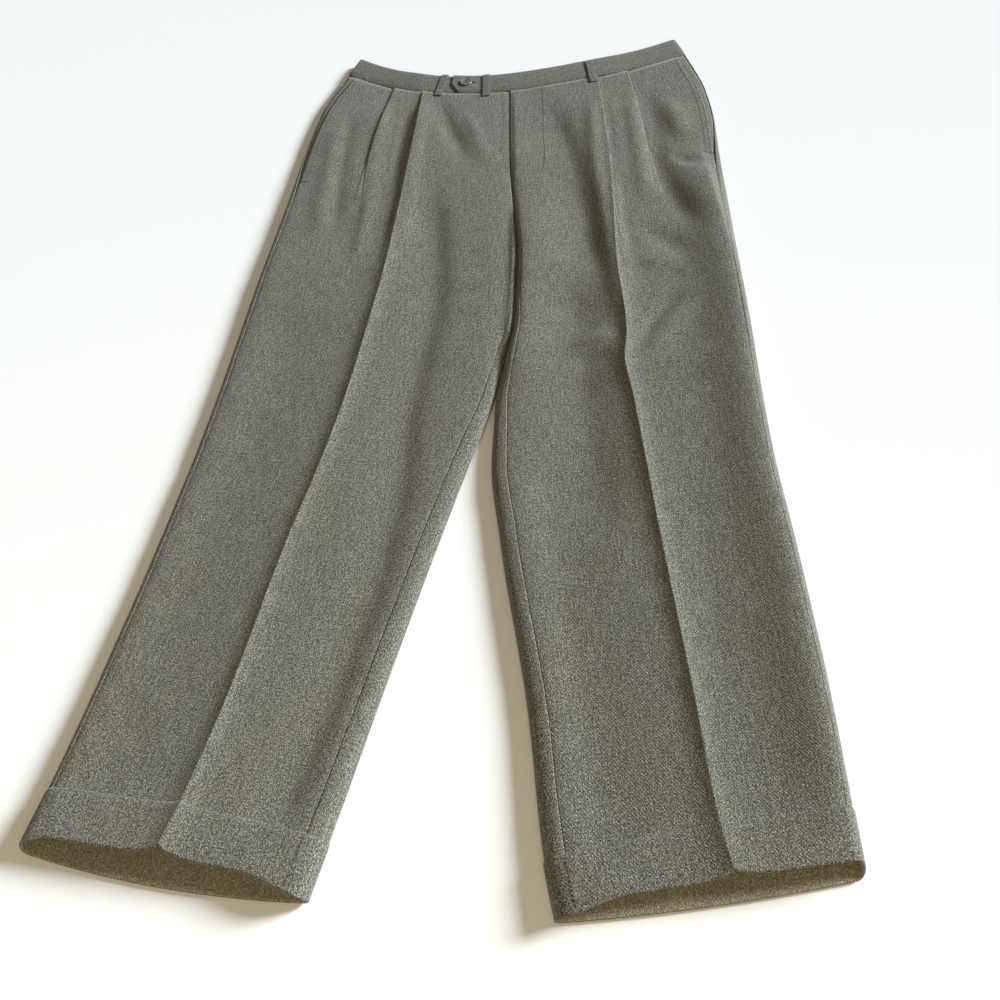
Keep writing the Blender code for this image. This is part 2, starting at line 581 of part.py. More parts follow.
def build_loop(name, top, bottom, z):
    """A flat strip across the waistband, with its tail on the panel below it."""
    top, bottom = np.array(top), np.array(bottom)
    along = (bottom - top) / np.linalg.norm(bottom - top)
    side = np.array([-along[1], along[0]]) * LOOP_WIDTH / 2
    rows = []
    for share in (0.0, 0.5, 1.0):
        middle = top + (bottom - top) * share
        rows.append([(*(middle + k * side), z) for k in (-1.0, 0.0, 1.0)])
    cloth_object(name, np.array(rows), LOOP_WALL, BAND_CLOTH)


def build_belt_loops(legs):
    lift = BAND_WALL / 2 + GAP + LOOP_WALL / 2
    for loop in named(FRONT_LOOPS, LOOP_COLUMNS):
        if loop["over"] == "tab":
            z = legs["left"].section(0.0)["inner_z"] + lift
        else:
            leg = legs[loop["over"]]
            middle = abs(loop["top_x"] - leg.section(0.0)["inner_x"])
            over_band = float(band_front_z(leg, [middle])[0]) + lift
            over_cloth = leg.section(LOOP_SEAT)["crease_z"] + WALL / 2 + GAP + LOOP_WALL / 2
            z = max(over_band, over_cloth)
        build_loop(loop["name"], (loop["top_x"], loop["top_y"]), (loop["bottom_x"], loop["bottom_y"]), z)
    for loop in named(BACK_LOOPS, BACK_LOOP_COLUMNS):
        leg = legs[loop["side"]]
        seam, up = band_line(leg, [leg.section(0.0)["width"] * loop["share"]], [1.0])
        top = seam[0] + up[0] * BAND_HEIGHT * LOOP_TOP
        build_loop(loop["name"], top, seam[0] - up[0] * LOOP_TAIL, LOOP_WALL / 2)


def build_button(z_under):
    """A dished four-hole button, turned about its own axis."""
    radius, rim, thick = BUTTON_RADIUS, BUTTON_RIM, BUTTON_THICK
    profile = (
        (radius * 0.62, 0.0),
        (radius * 0.95, thick * 0.30),
        (radius, thick * 0.62),
        (radius * 0.95, thick * 0.92),
        (radius * 0.84, thick),
        (radius * 0.70, thick - rim * 0.55),
        (radius * 0.45, thick - rim),
    )
    sides = BUTTON_SIDES
    turns = [2 * math.pi * k / sides for k in range(sides)]
    points = [(r * math.cos(a), r * math.sin(a), z) for r, z in profile for a in turns]
    faces = [tuple(reversed(range(sides)))]
    for i in range(len(profile) - 1):
        for k in range(sides):
            n = (k + 1) % sides
            faces.append((i * sides + k, i * sides + n, (i + 1) * sides + n, (i + 1) * sides + k))
    faces.append(tuple((len(profile) - 1) * sides + k for k in range(sides)))
    mesh = bpy.data.meshes.new("button")
    mesh.from_pydata(points, [], faces)
    mesh.shade_smooth()
    mesh.set_sharp_from_angle(angle=math.radians(40))
    button = bpy.data.objects.new("button", mesh)
    bpy.context.scene.collection.objects.link(button)
    button.location = (*BUTTON_PLACE, z_under)
    button.data.materials.append(material("button_finish", HORN, 0.35))
    for x in (-HOLE_SPACING, HOLE_SPACING):
        for y in (-HOLE_SPACING, HOLE_SPACING):
            bpy.ops.mesh.primitive_cylinder_add(vertices=HOLE_SIDES, radius=HOLE_RADIUS, depth=3 * thick)
            hole = bpy.context.object
            hole.name = "button_hole_cutter"
            hole.location = (BUTTON_PLACE[0] + x, BUTTON_PLACE[1] + y, z_under + thick / 2)
            hole.hide_render = True
            hole.display_type = "WIRE"
            cut = button.modifiers.new("Hole", "BOOLEAN")
            cut.operation = "DIFFERENCE"
            cut.object = hole


def place_on_origin():
    """Moves everything so that the garment's box is centred over the origin and stands on z = 0."""
    graph = bpy.context.evaluated_depsgraph_get()
    corners = []
    for made in bpy.context.scene.objects:
        if made.type == "MESH" and not made.hide_render:
            shape = made.evaluated_get(graph)
            points = np.empty(len(shape.data.vertices) * 3)
            shape.data.vertices.foreach_get("co", points)
            corners.append(points.reshape(-1, 3) + np.array(made.location))
    points = np.concatenate(corners)
    low, high = points.min(axis=0), points.max(axis=0)
    shift = np.array([(low[0] + high[0]) / 2, (low[1] + high[1]) / 2, low[2]])
    for made in bpy.context.scene.objects:
        made.location = np.array(made.location) - shift


def main():
    for old in list(bpy.data.objects):
        bpy.data.objects.remove(old, do_unlink=True)
    legs = {
        "right": Leg(RIGHT_LEG_ROWS, RIGHT_MOUTH_ROWS, RIGHT_PLEATS, -1.0, RIGHT_MOUTH_STANDS),
        "left": Leg(LEFT_LEG_ROWS, LEFT_MOUTH_ROWS, LEFT_PLEATS, 1.0, LEFT_MOUTH_STANDS),
    }
    for side, leg in legs.items():
        build_panels(leg, side)
        build_turn_up(leg, side)
        build_pocket_facing(leg, side)
    build_waistband_right(legs["right"])
    build_waistband_left(legs["left"], legs["right"])
    build_belt_loops(legs)
    build_button(legs["left"].section(0.0)["inner_z"] + BAND_WALL / 2 + GAP)
    place_on_origin()


main()
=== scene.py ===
"""Pleated dress trousers in a grey melange flannel, laid flat on a pale floor, front up.

Metres. The shapes are first worked out in the cutter's own plan, whose origin is the middle of the waist,
with x to the wearer's left and y to the waist, and then moved by SHIFT into the frame.
"""

import math

import bmesh
import bpy
import numpy as np
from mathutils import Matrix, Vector, noise
from mathutils.bvhtree import BVHTree


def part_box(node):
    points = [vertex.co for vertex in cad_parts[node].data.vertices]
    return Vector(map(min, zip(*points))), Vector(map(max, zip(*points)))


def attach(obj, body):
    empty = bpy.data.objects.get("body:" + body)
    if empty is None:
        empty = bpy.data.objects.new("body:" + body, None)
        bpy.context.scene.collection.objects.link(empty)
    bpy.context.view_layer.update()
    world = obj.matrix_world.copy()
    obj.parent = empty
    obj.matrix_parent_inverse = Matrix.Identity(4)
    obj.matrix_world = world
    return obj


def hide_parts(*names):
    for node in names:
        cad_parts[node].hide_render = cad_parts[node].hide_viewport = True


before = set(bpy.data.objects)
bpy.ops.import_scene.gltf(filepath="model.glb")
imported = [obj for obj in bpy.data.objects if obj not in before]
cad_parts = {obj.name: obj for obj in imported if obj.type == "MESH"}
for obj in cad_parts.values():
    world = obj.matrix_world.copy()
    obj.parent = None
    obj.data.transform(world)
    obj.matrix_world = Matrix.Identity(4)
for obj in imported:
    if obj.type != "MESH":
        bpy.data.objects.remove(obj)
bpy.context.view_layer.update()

# Driving sizes
WALL = 0.0012  # one layer of cloth, as the solids have it
GAP = 0.0003  # between neighbouring pieces
BAND_HEIGHT = 0.038
BAND_WALL = 0.0024  # a waistband is two layers
PLEAT_PITCH = 0.0011  # from layer to layer in a pleat, pressed flat
PLEAT_MARGIN = 0.006  # flat cloth modelled with a pleat on each side of it
EDGE_RADIUS = 0.0055  # how far a side's round fold reaches into the leg
UNDERLAP = 0.012  # right front under the fly edge
UNDERLAP_END = 0.155  # distance below the waist seam
SEAM_RISE = 0.012  # centre back above centre front at the waist
OUTSIDE = WALL + GAP  # from a layer to the one laid on it
LOOP_WIDTH = 0.010
LOOP_WALL = 0.0012
LOOP_TAIL = 0.007  # how far a back loop reaches below the waistband
LOOP_TOP = 0.97  # how far up the waistband's height a back loop reaches
BACK_LIFT = LOOP_WALL + GAP  # the back waistband lies on its belt loops
MOUTH_INNER = 0.060  # length over which the front of an open mouth leaves its inner end
MOUTH_OUTER = 0.026  # and its outer end
PEAK_REACH = 0.012  # how narrow the crease's peak is in the mouth
RIGHT_MOUTH_STANDS = 0.35  # share of the mouth's set-back that is left at its outer end
LEFT_MOUTH_STANDS = 1.0
PLEAT_TURN = 0.0012  # length of cloth that turns round at a pleat's fold
SEAM_RISE_END = 0.20  # distance below the waist seam where the centre back's rise has gone
WAIST_LIFT_END = 0.07  # and where the back has come down from the waistband's height
UNDERLAP_FADE = 0.03  # length over which the underlap narrows to nothing
LAP_SETTLE = 0.02  # how far past the underlap's end the lower front starts to rise level with the other
LAP_LEVEL = 0.04  # length over which it does
HEM_LIFT_ABOVE = 0.045  # how far above the turn-up the back starts to rise onto it
HEM_LIFT_END = 0.015  # and where it has risen
BUTTON_RADIUS = 0.0075
BUTTON_THICK = 0.0019
BUTTON_RIM = 0.00072  # radius of its rolled edge
HOLE_RADIUS = 0.0009
HOLE_SPACING = 0.0016
TINY = 1e-9  # keeps a length of nothing from dividing by nothing

# The line where the two legs meet, from the waist down to the fork where they part.
CENTRE_COLUMNS = ("y", "x")
CENTRE_ROWS = (
    (-0.069, -0.003),
    (-0.105, -0.002),
    (-0.186, 0.001),
    (-0.269, 0.006),
    (-0.294, 0.009),
    (-0.383, 0.015),
    (-0.470, 0.014),
    (-0.527, 0.006),
    (-0.577, -0.002),
)
FORK_Y = -0.577

# One row for each section across a leg, from the waist seam to the hem. Plan places of the inner edge, the
# crease and the outer edge; heights of the upper cloth at those places; how sharp the crease is, from 0 to 1;
# how round the inner edge is (0 where the legs are one), and how far the inside leg seam lies in from that
# edge.
LEG_COLUMNS = (
    "inner_x", "inner_y", "crease_x", "crease_y", "outer_x", "outer_y", "inner_z", "crease_z", "outer_z",
    "ridge", "roll", "seam_in",
)
RIGHT_LEG_ROWS = (
    (-0.003, -0.069, -0.119, -0.056, -0.226, -0.001, 0.0160, 0.0158, 0.0092, 0.0, 0.0, 0.0),
    (-0.002, -0.105, -0.120, -0.101, -0.251, -0.076, 0.0160, 0.0163, 0.0092, 0.0, 0.0, 0.0),
    (0.000, -0.150, -0.122, -0.155, -0.260, -0.140, 0.0158, 0.0168, 0.0095, 0.1, 0.0, 0.0),
    (0.003, -0.210, -0.125, -0.215, -0.266, -0.215, 0.0150, 0.0170, 0.0095, 0.3, 0.0, 0.0),
    (0.009, -0.294, -0.129, -0.300, -0.274, -0.300, 0.0120, 0.0168, 0.0090, 0.5, 0.4, 0.0),
    (0.015, -0.383, -0.134, -0.388, -0.283, -0.392, 0.0100, 0.0165, 0.0090, 0.8, 1.0, 0.003),
    (0.010, -0.500, -0.145, -0.495, -0.291, -0.486, 0.0090, 0.0160, 0.0085, 1.0, 1.0, 0.010),
    (-0.002, -0.577, -0.154, -0.570, -0.297, -0.560, 0.0085, 0.0160, 0.0085, 1.0, 1.0, 0.014),
    (-0.023, -0.656, -0.166, -0.643, -0.304, -0.630, 0.0085, 0.0160, 0.0085, 1.0, 1.0, 0.017),
    (-0.055, -0.780, -0.191, -0.765, -0.319, -0.748, 0.0085, 0.0165, 0.0085, 1.0, 1.0, 0.018),
    (-0.089, -0.920, -0.213, -0.898, -0.338, -0.876, 0.0085, 0.0180, 0.0090, 1.0, 1.0, 0.018),
    (-0.114, -1.027, -0.236, -1.007, -0.357, -0.989, 0.0090, 0.0215, 0.0105, 1.0, 1.0, 0.018),
    (-0.125, -1.071, -0.247, -1.053, -0.366, -1.036, 0.0090, 0.0240, 0.0120, 1.0, 1.0, 0.018),
)
LEFT_LEG_ROWS = (
    (-0.003, -0.069, 0.109, -0.047, 0.225, -0.002, 0.0160, 0.0158, 0.0092, 0.0, 0.0, 0.0),
    (-0.002, -0.105, 0.114, -0.103, 0.245, -0.078, 0.0160, 0.0163, 0.0092, 0.0, 0.0, 0.0),
    (0.000, -0.150, 0.118, -0.152, 0.251, -0.138, 0.0158, 0.0168, 0.0095, 0.1, 0.0, 0.0),
    (0.003, -0.210, 0.122, -0.212, 0.252, -0.206, 0.0150, 0.0170, 0.0095, 0.3, 0.0, 0.0),
    (0.009, -0.294, 0.124, -0.297, 0.255, -0.295, 0.0120, 0.0168, 0.0090, 0.5, 0.4, 0.0),
    (0.015, -0.383, 0.125, -0.385, 0.258, -0.385, 0.0100, 0.0165, 0.0090, 0.8, 1.0, 0.003),
    (0.011, -0.495, 0.133, -0.500, 0.262, -0.498, 0.0090, 0.0165, 0.0085, 1.0, 1.0, 0.010),
    (0.004, -0.540, 0.130, -0.540, 0.263, -0.540, 0.0088, 0.0175, 0.0085, 1.0, 1.0, 0.012),
    (-0.002, -0.577, 0.136, -0.582, 0.264, -0.584, 0.0085, 0.0160, 0.0085, 1.0, 1.0, 0.014),
    (-0.003, -0.655, 0.145, -0.658, 0.267, -0.657, 0.0085, 0.0160, 0.0085, 1.0, 1.0, 0.017),
    (0.009, -0.750, 0.156, -0.755, 0.275, -0.751, 0.0085, 0.0165, 0.0085, 1.0, 1.0, 0.018),
    (0.039, -0.920, 0.175, -0.907, 0.285, -0.895, 0.0085, 0.0180, 0.0095, 1.0, 1.0, 0.018),
    (0.054, -1.039, 0.188, -1.018, 0.289, -1.001, 0.0090, 0.0210, 0.0135, 1.0, 1.0, 0.018),
    (0.063, -1.082, 0.197, -1.062, 0.291, -1.047, 0.0090, 0.0225, 0.0160, 1.0, 1.0, 0.018),
)

# The open mouth at the hem, for the last rows of each leg: how far the front lies back from it, how much more
# it does at the crease, and how far the back's middle reaches beyond it.
MOUTH_COLUMNS = ("set_back", "peak_back", "back_drop")
RIGHT_MOUTH_ROWS = (
    (0.000, 0.000, 0.000),
    (0.000, 0.000, 0.000),
    (0.000, 0.000, 0.001),
    (0.004, 0.003, 0.005),
    (0.011, 0.007, 0.008),
)
LEFT_MOUTH_ROWS = (
    (0.000, 0.000, 0.000),
    (0.000, 0.000, 0.000),
    (0.000, 0.000, 0.001),
    (0.004, 0.002, 0.002),
    (0.010, 0.005, 0.003),
)

# Each pleat: how deep its fold is, how far its fold edge lies outside the crease at the waist, half way and
# where it ends, the distance below the waist seam where its layers stop overlapping, and the length over
# which what is left of it then fades.
PLEAT_COLUMNS = ("depth", "out_top", "out_mid", "out_end", "open", "fade")
RIGHT_PLEATS = (
    (0.014, 0.000, 0.000, 0.000, 0.240, 0.100),
    (0.012, 0.042, 0.052, 0.046, 0.130, 0.120),
)
LEFT_PLEATS = (
    (0.014, 0.000, 0.000, 0.000, 0.250, 0.100),
    (0.012, 0.041, 0.046, 0.047, 0.140, 0.120),
)

# Side seam and pocket, by distance below the waist seam: how far in from the outer edge the front's side and
# the back's side lie. Where they differ, the pocket stands open and its facing shows.
SIDE_COLUMNS = ("down", "front_in", "back_in")
SIDE_ROWS = (
    (0.000, 0.0150, 0.0030),
    (0.060, 0.0115, 0.0030),
    (0.120, 0.0100, 0.0040),
    (0.170, 0.0100, 0.0080),
    (0.195, 0.0100, 0.0100),
    (2.000, 0.0100, 0.0100),
)
POCKET_END = 0.200
POCKET_UNDER = 0.014  # how far the facing reaches under the front

# Belt loops on the front: place of the top end and of the bottom end.
LOOP_COLUMNS = ("name", "top_x", "top_y", "bottom_x", "bottom_y")
FRONT_LOOPS = (
    ("belt_loop_front_right", -0.091, -0.024, -0.098, -0.0695),
    ("belt_loop_tab", -0.036, -0.032, -0.034, -0.0775),
    ("belt_loop_front_left", 0.098, -0.016, 0.105, -0.0610),
)
# Belt loops on the back: how far along the waist from centre back to the side, from 0 to 1.
BACK_LOOP_COLUMNS = ("name", "side", "share")
BACK_LOOPS = (
    ("belt_loop_back_right", "right", 0.62),
    ("belt_loop_centre_back", "left", 0.0),
    ("belt_loop_back_left", "left", 0.62),
)

# Height of the waistband's middle on the front, by share of the way from the centre to the side. The right
# one passes under the left one's tab.
BAND_COLUMNS = ("share", "left_z", "right_z")
BAND_ROWS = (
    (0.00, 0.0160, 0.0133),
    (0.30, 0.0160, 0.0133),
    (0.50, 0.0148, 0.0135),
    (0.72, 0.0112, 0.0112),
    (1.00, 0.0095, 0.0095),
)

# The fastening tab: distance of its point and of its lower corner from the centre, along the waistband.
TAB_POINT = 0.077
TAB_CORNER = 0.065
TAB_CLEAR = 0.03  # how far up the waistband's height the tab's lower edge lies
BAND_LEAN = 0.34  # how far the waistband's sides lean in, for each unit of height
BAND_START_RIGHT = -0.020  # where its front end lies: it runs under the other side's
BAND_START_LEFT = 0.006  # where its body begins, past the tab
BAND_EDGE_REACH = EDGE_RADIUS + 0.001  # its round fold at the side
BUTTON_PLACE = (-0.062, -0.045)

# How finely the cloth is made
LEG_ROWS = 210  # sections from waist to hem
INNER_STEPS = np.concatenate([np.linspace(0, 0.11, 13), np.linspace(0.11, 1, 38)[1:-1]])
MIDDLE_STEPS = np.linspace(0, 1, 14)[1:-1]
OUTER_STEPS = np.concatenate([np.linspace(0, 0.86, 26), np.linspace(0.86, 1, 8)[1:]])
BACK_EDGE_STEPS = np.linspace(0, 1, 22)
BACK_STEPS = np.linspace(0, 1, 32)[1:-1]
BACK_EDGE_REACH = 0.018  # how much of the flat back belongs to a side fold
BELOW = 1e-7  # just under the middle of a side fold
FOLD_POINTS = 7  # round each turn of a pleat
FLAT_POINTS = 5  # along each flat run of it
CREASE_COLUMN = len(INNER_STEPS) + FLAT_POINTS - 1 + FOLD_POINTS // 2  # of the front's grid
FACING_STEPS = 12
BAND_STEPS = 150
BAND_RISE_STEPS = 13
BAND_TURN_STEPS = 10
FOLD_PATH_POINTS = 24

# Soft folds lying in the cloth. Each runs down through its places; depth is how far the cloth dips there, or
# rises where it is below 0, and near and far are its half widths on its left and right.
FOLD_COLUMNS = ("path", "near", "far", "depth")
FRONT_FOLDS = (
    # wearer's left: the fly's edge, and the fall from it to the thigh
    (((0.002, -0.056), (0.006, -0.148), (0.011, -0.272)), 0.003, 0.012, -0.0011),
    (((0.015, -0.256), (0.016, -0.383), (0.014, -0.490), (0.012, -0.587)), 0.008, 0.040, -0.0056),
    (((-0.017, -0.067), (-0.008, -0.187), (-0.003, -0.266)), 0.009, 0.004, 0.0008),
    ((
        (0.043, -0.082), (0.069, -0.193), (0.083, -0.269), (0.095, -0.356), (0.104, -0.436),
    ), 0.036, 0.015, 0.0050),
    ((
        (0.069, -0.387), (0.076, -0.494), (0.084, -0.590), (0.095, -0.677), (0.106, -0.777),
    ), 0.040, 0.026, 0.0050),
    # its first pleat and the trough beside it
    ((
        (0.102, -0.075), (0.103, -0.196), (0.111, -0.297), (0.120, -0.406), (0.128, -0.496),
    ), 0.009, 0.008, -0.0026),
    (((0.122, -0.098), (0.127, -0.198), (0.134, -0.299), (0.142, -0.391)), 0.006, 0.007, 0.0015),
    # its second pleat, fading into the thigh
    (((0.149, -0.071), (0.153, -0.142), (0.158, -0.229), (0.160, -0.301)), 0.010, 0.011, -0.0026),
    ((
        (0.170, -0.069), (0.171, -0.143), (0.176, -0.221), (0.190, -0.277), (0.207, -0.320),
        (0.224, -0.364),
    ), 0.015, 0.014, 0.0034),
    (((0.192, -0.088), (0.206, -0.151), (0.217, -0.198)), 0.012, 0.016, -0.0036),
    (((0.196, -0.208), (0.216, -0.228), (0.241, -0.227)), 0.008, 0.008, 0.0022),
    (((0.142, -0.329), (0.170, -0.354), (0.205, -0.398)), 0.010, 0.014, 0.0020),
    (((0.138, -0.378), (0.168, -0.396), (0.206, -0.379)), 0.010, 0.014, -0.0020),
    # the dark lines beside its pleats
    ((
        (0.123, -0.081), (0.128, -0.198), (0.130, -0.299), (0.133, -0.394), (0.136, -0.453),
    ), 0.003, 0.009, -0.0015),
    (((0.163, -0.085), (0.169, -0.151), (0.172, -0.221)), 0.003, 0.009, -0.0013),
    # the kink in its crease
    (((0.126, -0.502), (0.097, -0.506), (0.066, -0.521)), 0.009, 0.008, -0.0028),
    (((0.123, -0.527), (0.099, -0.534), (0.076, -0.544)), 0.007, 0.010, 0.0024),
    (((0.136, -0.525), (0.149, -0.506), (0.169, -0.472), (0.202, -0.435)), 0.008, 0.008, 0.0030),
    (((0.139, -0.541), (0.158, -0.523), (0.180, -0.493), (0.216, -0.457)), 0.008, 0.012, -0.0026),
    # down its outer side and its inner side
    ((
        (0.222, -0.168), (0.230, -0.235), (0.240, -0.317), (0.250, -0.398), (0.255, -0.480),
        (0.254, -0.552), (0.257, -0.634), (0.260, -0.693), (0.267, -0.759), (0.271, -0.820),
        (0.275, -0.876), (0.278, -0.928), (0.279, -0.977), (0.281, -1.023), (0.282, -1.052),
    ), 0.036, 0.009, -0.0095),
    ((
        (0.060, -0.627), (0.057, -0.710), (0.067, -0.776), (0.076, -0.837), (0.084, -0.893),
        (0.092, -0.946), (0.098, -0.994), (0.102, -1.033), (0.105, -1.069),
    ), 0.020, 0.040, 0.0036),
    (((0.187, -0.679), (0.194, -0.778), (0.197, -0.857), (0.203, -0.928)), 0.016, 0.014, 0.0009),
    # wearer's right: its pleats and the folds beside them
    ((
        (-0.155, -0.053), (-0.165, -0.112), (-0.167, -0.173), (-0.166, -0.250), (-0.169, -0.330),
        (-0.175, -0.388),
    ), 0.008, 0.009, -0.0022),
    ((
        (-0.115, -0.066), (-0.116, -0.137), (-0.118, -0.216), (-0.117, -0.290), (-0.122, -0.366),
    ), 0.010, 0.009, -0.0022),
    (((-0.136, -0.081), (-0.135, -0.132), (-0.138, -0.195), (-0.140, -0.252)), 0.006, 0.006, 0.0016),
    (((-0.098, -0.059), (-0.084, -0.120), (-0.067, -0.168), (-0.047, -0.225)), 0.012, 0.009, 0.0030),
    (((-0.065, -0.088), (-0.043, -0.156), (-0.023, -0.227)), 0.009, 0.009, -0.0018),
    (((-0.220, -0.086), (-0.225, -0.168), (-0.225, -0.264), (-0.222, -0.335)), 0.012, 0.011, -0.0022),
    (((-0.171, -0.052), (-0.181, -0.172), (-0.186, -0.302)), 0.034, 0.012, -0.0026),
    (((-0.211, -0.074), (-0.211, -0.149), (-0.207, -0.228), (-0.205, -0.336)), 0.008, 0.009, 0.0016),
    # down its inner side, its outer side and beside the crotch
    ((
        (-0.095, -0.240), (-0.082, -0.344), (-0.076, -0.441), (-0.085, -0.528), (-0.092, -0.609),
        (-0.091, -0.683), (-0.098, -0.752), (-0.108, -0.815), (-0.122, -0.874), (-0.133, -0.929),
        (-0.149, -0.980), (-0.158, -1.028), (-0.161, -1.058),
    ), 0.028, 0.016, 0.0046),
    ((
        (-0.231, -0.432), (-0.239, -0.521), (-0.246, -0.603), (-0.257, -0.679), (-0.269, -0.748),
        (-0.282, -0.813), (-0.293, -0.873), (-0.301, -0.929), (-0.310, -0.981), (-0.311, -1.030),
    ), 0.026, 0.040, 0.0022),
    ((
        (-0.000, -0.273), (0.003, -0.350), (0.005, -0.445), (-0.000, -0.518), (-0.004, -0.566),
    ), 0.010, 0.005, 0.0009),
)
# The same on the hidden back, small because it lies flat.
BACK_FOLDS = (
    (((-0.060, -0.100), (-0.090, -0.180), (-0.130, -0.260)), 0.014, 0.014, -0.0006),
    (((0.070, -0.110), (0.100, -0.190), (0.140, -0.250)), 0.014, 0.014, -0.0006),
    (((-0.060, -0.480), (-0.140, -0.510), (-0.220, -0.500)), 0.012, 0.012, -0.0005),
    (((0.060, -0.500), (0.140, -0.480), (0.220, -0.510)), 0.012, 0.012, -0.0005),
)
PLATEAU = 0.66  # share of the crease's height that a half of the leg has, lying level
EDGE_ROLL = 0.05  # share of the half over which it rises from its edge
CREST = 0.08  # and up to its crease
WAIST_REACH = 0.0002  # how near a panel comes to the waist seam
CLOTH_WALL = 0.0009  # a single layer, as it shows
WAVE = 0.0005  # height of the cloth's own slight unevenness
WAVE_LENGTH = 0.045
WAVE_FINE = (0.016, 0.030)  # and that of its finer waves, across and down
WAVE_FINE_SHARE = 0.4  # their share of its height
WAVE_APART = 7.0  # how far apart in the noise the two lie
SEAM_DIP = 0.0003  # how far a panel's edge sinks into its seam
SEAM_SOFT = 0.0025  # over this length
EDGE_ROUND = 0.0004  # how far a folded edge is rounded down
FOLD_TAPER = 0.036  # length over which a slight fold rises from nothing
FOLD_STEADY = 0.004  # a fold this deep takes twice as long
FOLD_RISES = 0.4  # the most of its own length that it takes
FOLD_REACH = 3  # half widths beyond which a fold adds nothing

# The crease's own pressed ridge, by distance below the waist seam.
CREASE_COLUMNS = ("down", "rise")
CREASE_ROWS = (
    (0.00, 0.0000),
    (0.06, 0.0010),
    (0.15, 0.0013),
    (0.29, 0.0027),
    (0.40, 0.0031),
    (0.56, 0.0029),
    (0.70, 0.0023),
    (0.85, 0.0020),
    (1.10, 0.0022),
)
CREASE_WIDE = 0.0065
CREASE_SWELL, CREASE_REACH = 0.0006, 0.022  # and the rise that leads up to it


def cubic(f, values, slopes, cell, span):
    """Values at share f of each cell's length, span, from the values and slopes at its two ends."""
    ends = (2 * f**3 - 3 * f**2 + 1) * values[cell] + (3 * f**2 - 2 * f**3) * values[cell + 1]
    leans = (f**3 - 2 * f**2 + f) * slopes[cell] + (f**3 - f**2) * slopes[cell + 1]
    return ends + leans * span


def unit(vectors):
    return vectors / np.linalg.norm(vectors, axis=-1, keepdims=True)


def through(places, values, at):
    """A smooth curve through the values, with no overshoot between them (a monotone cubic)."""
    places = np.asarray(places, float)
    values = np.asarray(values, float)
    at = np.clip(np.asarray(at, float), places[0], places[-1])
    step = np.diff(places)
    slope = np.diff(values) / step
    tangent = np.zeros(len(places))
    tangent[0], tangent[-1] = slope[0], slope[-1]
    for k in range(1, len(places) - 1):
        if slope[k - 1] * slope[k] > 0:
            near, far = 2 * step[k] + step[k - 1], step[k] + 2 * step[k - 1]
            tangent[k] = (near + far) / (near / slope[k - 1] + far / slope[k])
    cell = np.clip(np.searchsorted(places, at, side="right") - 1, 0, len(step) - 1)
    return cubic((at - places[cell]) / step[cell], values, tangent, cell, step[cell])


def smooth(f):
    f = np.clip(f, 0.0, 1.0)
    return f * f * (3 - 2 * f)


def column(rows, columns, name):
    return [row[columns.index(name)] for row in rows]


def at_row(rows, columns, key, name, at):
    """A column's value at this place along the key column, on a smooth curve through the rows."""
    return through(column(rows, columns, key), column(rows, columns, name), at)


def named(rows, columns):
    """The rows as dictionaries."""
    return [dict(zip(columns, row)) for row in rows]


class Nodes:
    """A material's nodes, made and linked in short calls."""

    def __init__(self, name):
        self.made = bpy.data.materials.new(name)
        self.made.use_nodes = True
        self.tree = self.made.node_tree
        self.shader = self.tree.nodes["Principled BSDF"]

    def give(self, node, key, value):
        if isinstance(value, bpy.types.NodeSocket):
            self.tree.links.new(value, node.inputs[key])
        else:
            node.inputs[key].default_value = value

    def add(self, kind, inputs, output, **settings):
        """A new node's output; inputs are numbers, colours or other nodes' outputs."""
        node = self.tree.nodes.new(kind)
        for key, value in settings.items():
            setattr(node, key, value)
        for key, value in inputs.items():
            self.give(node, key, value)
        return node.outputs[output]

    def place(self):
        return self.add("ShaderNodeTexCoord", {}, "Object")

    def noise(self, vector, scale, detail, roughness):
        inputs = {"Vector": vector, "Scale": scale, "Detail": detail, "Roughness": roughness}
        return self.add("ShaderNodeTexNoise", inputs, "Fac")

    def stretched(self, vector, scale, turn=0.0):
        """The vector scaled by three numbers, after a turn about the third axis."""
        inputs = {"Vector": vector, "Scale": scale, "Rotation": (0.0, 0.0, turn)}
        return self.add("ShaderNodeMapping", inputs, "Vector")

    def ramp(self, factor, stops):
        """Colours by a factor: (position, colour) for each stop."""
        colour = self.add("ShaderNodeValToRGB", {"Fac": factor}, "Color")
        band = colour.node.color_ramp.elements
        band[0].position, band[0].color = stops[0]
        band[1].position, band[1].color = stops[-1]
        for position, between in stops[1:-1]:
            band.new(position).color = between
        return colour

    def mix(self, factor, first, second, blend="MIX"):
        inputs = {0: factor, 6: first, 7: second}
        return self.add("ShaderNodeMix", inputs, 2, data_type="RGBA", blend_type=blend)

    def plus(self, first, second):
        return self.add("ShaderNodeMath", {0: first, 1: second}, 0, operation="ADD")

    def times(self, first, second):
        return self.add("ShaderNodeMath", {0: first, 1: second}, 0, operation="MULTIPLY")

    def bump(self, height, distance, strength):
        inputs = {"Height": height, "Distance": distance, "Strength": strength}
        return self.add("ShaderNodeBump", inputs, "Normal")

    def finish(self, **values):
        """The material, with these on its shader. _ stands for a space in a socket's name."""
        for key, value in values.items():
            self.give(self.shader, key.replace("_", " "), value)
        return self.made


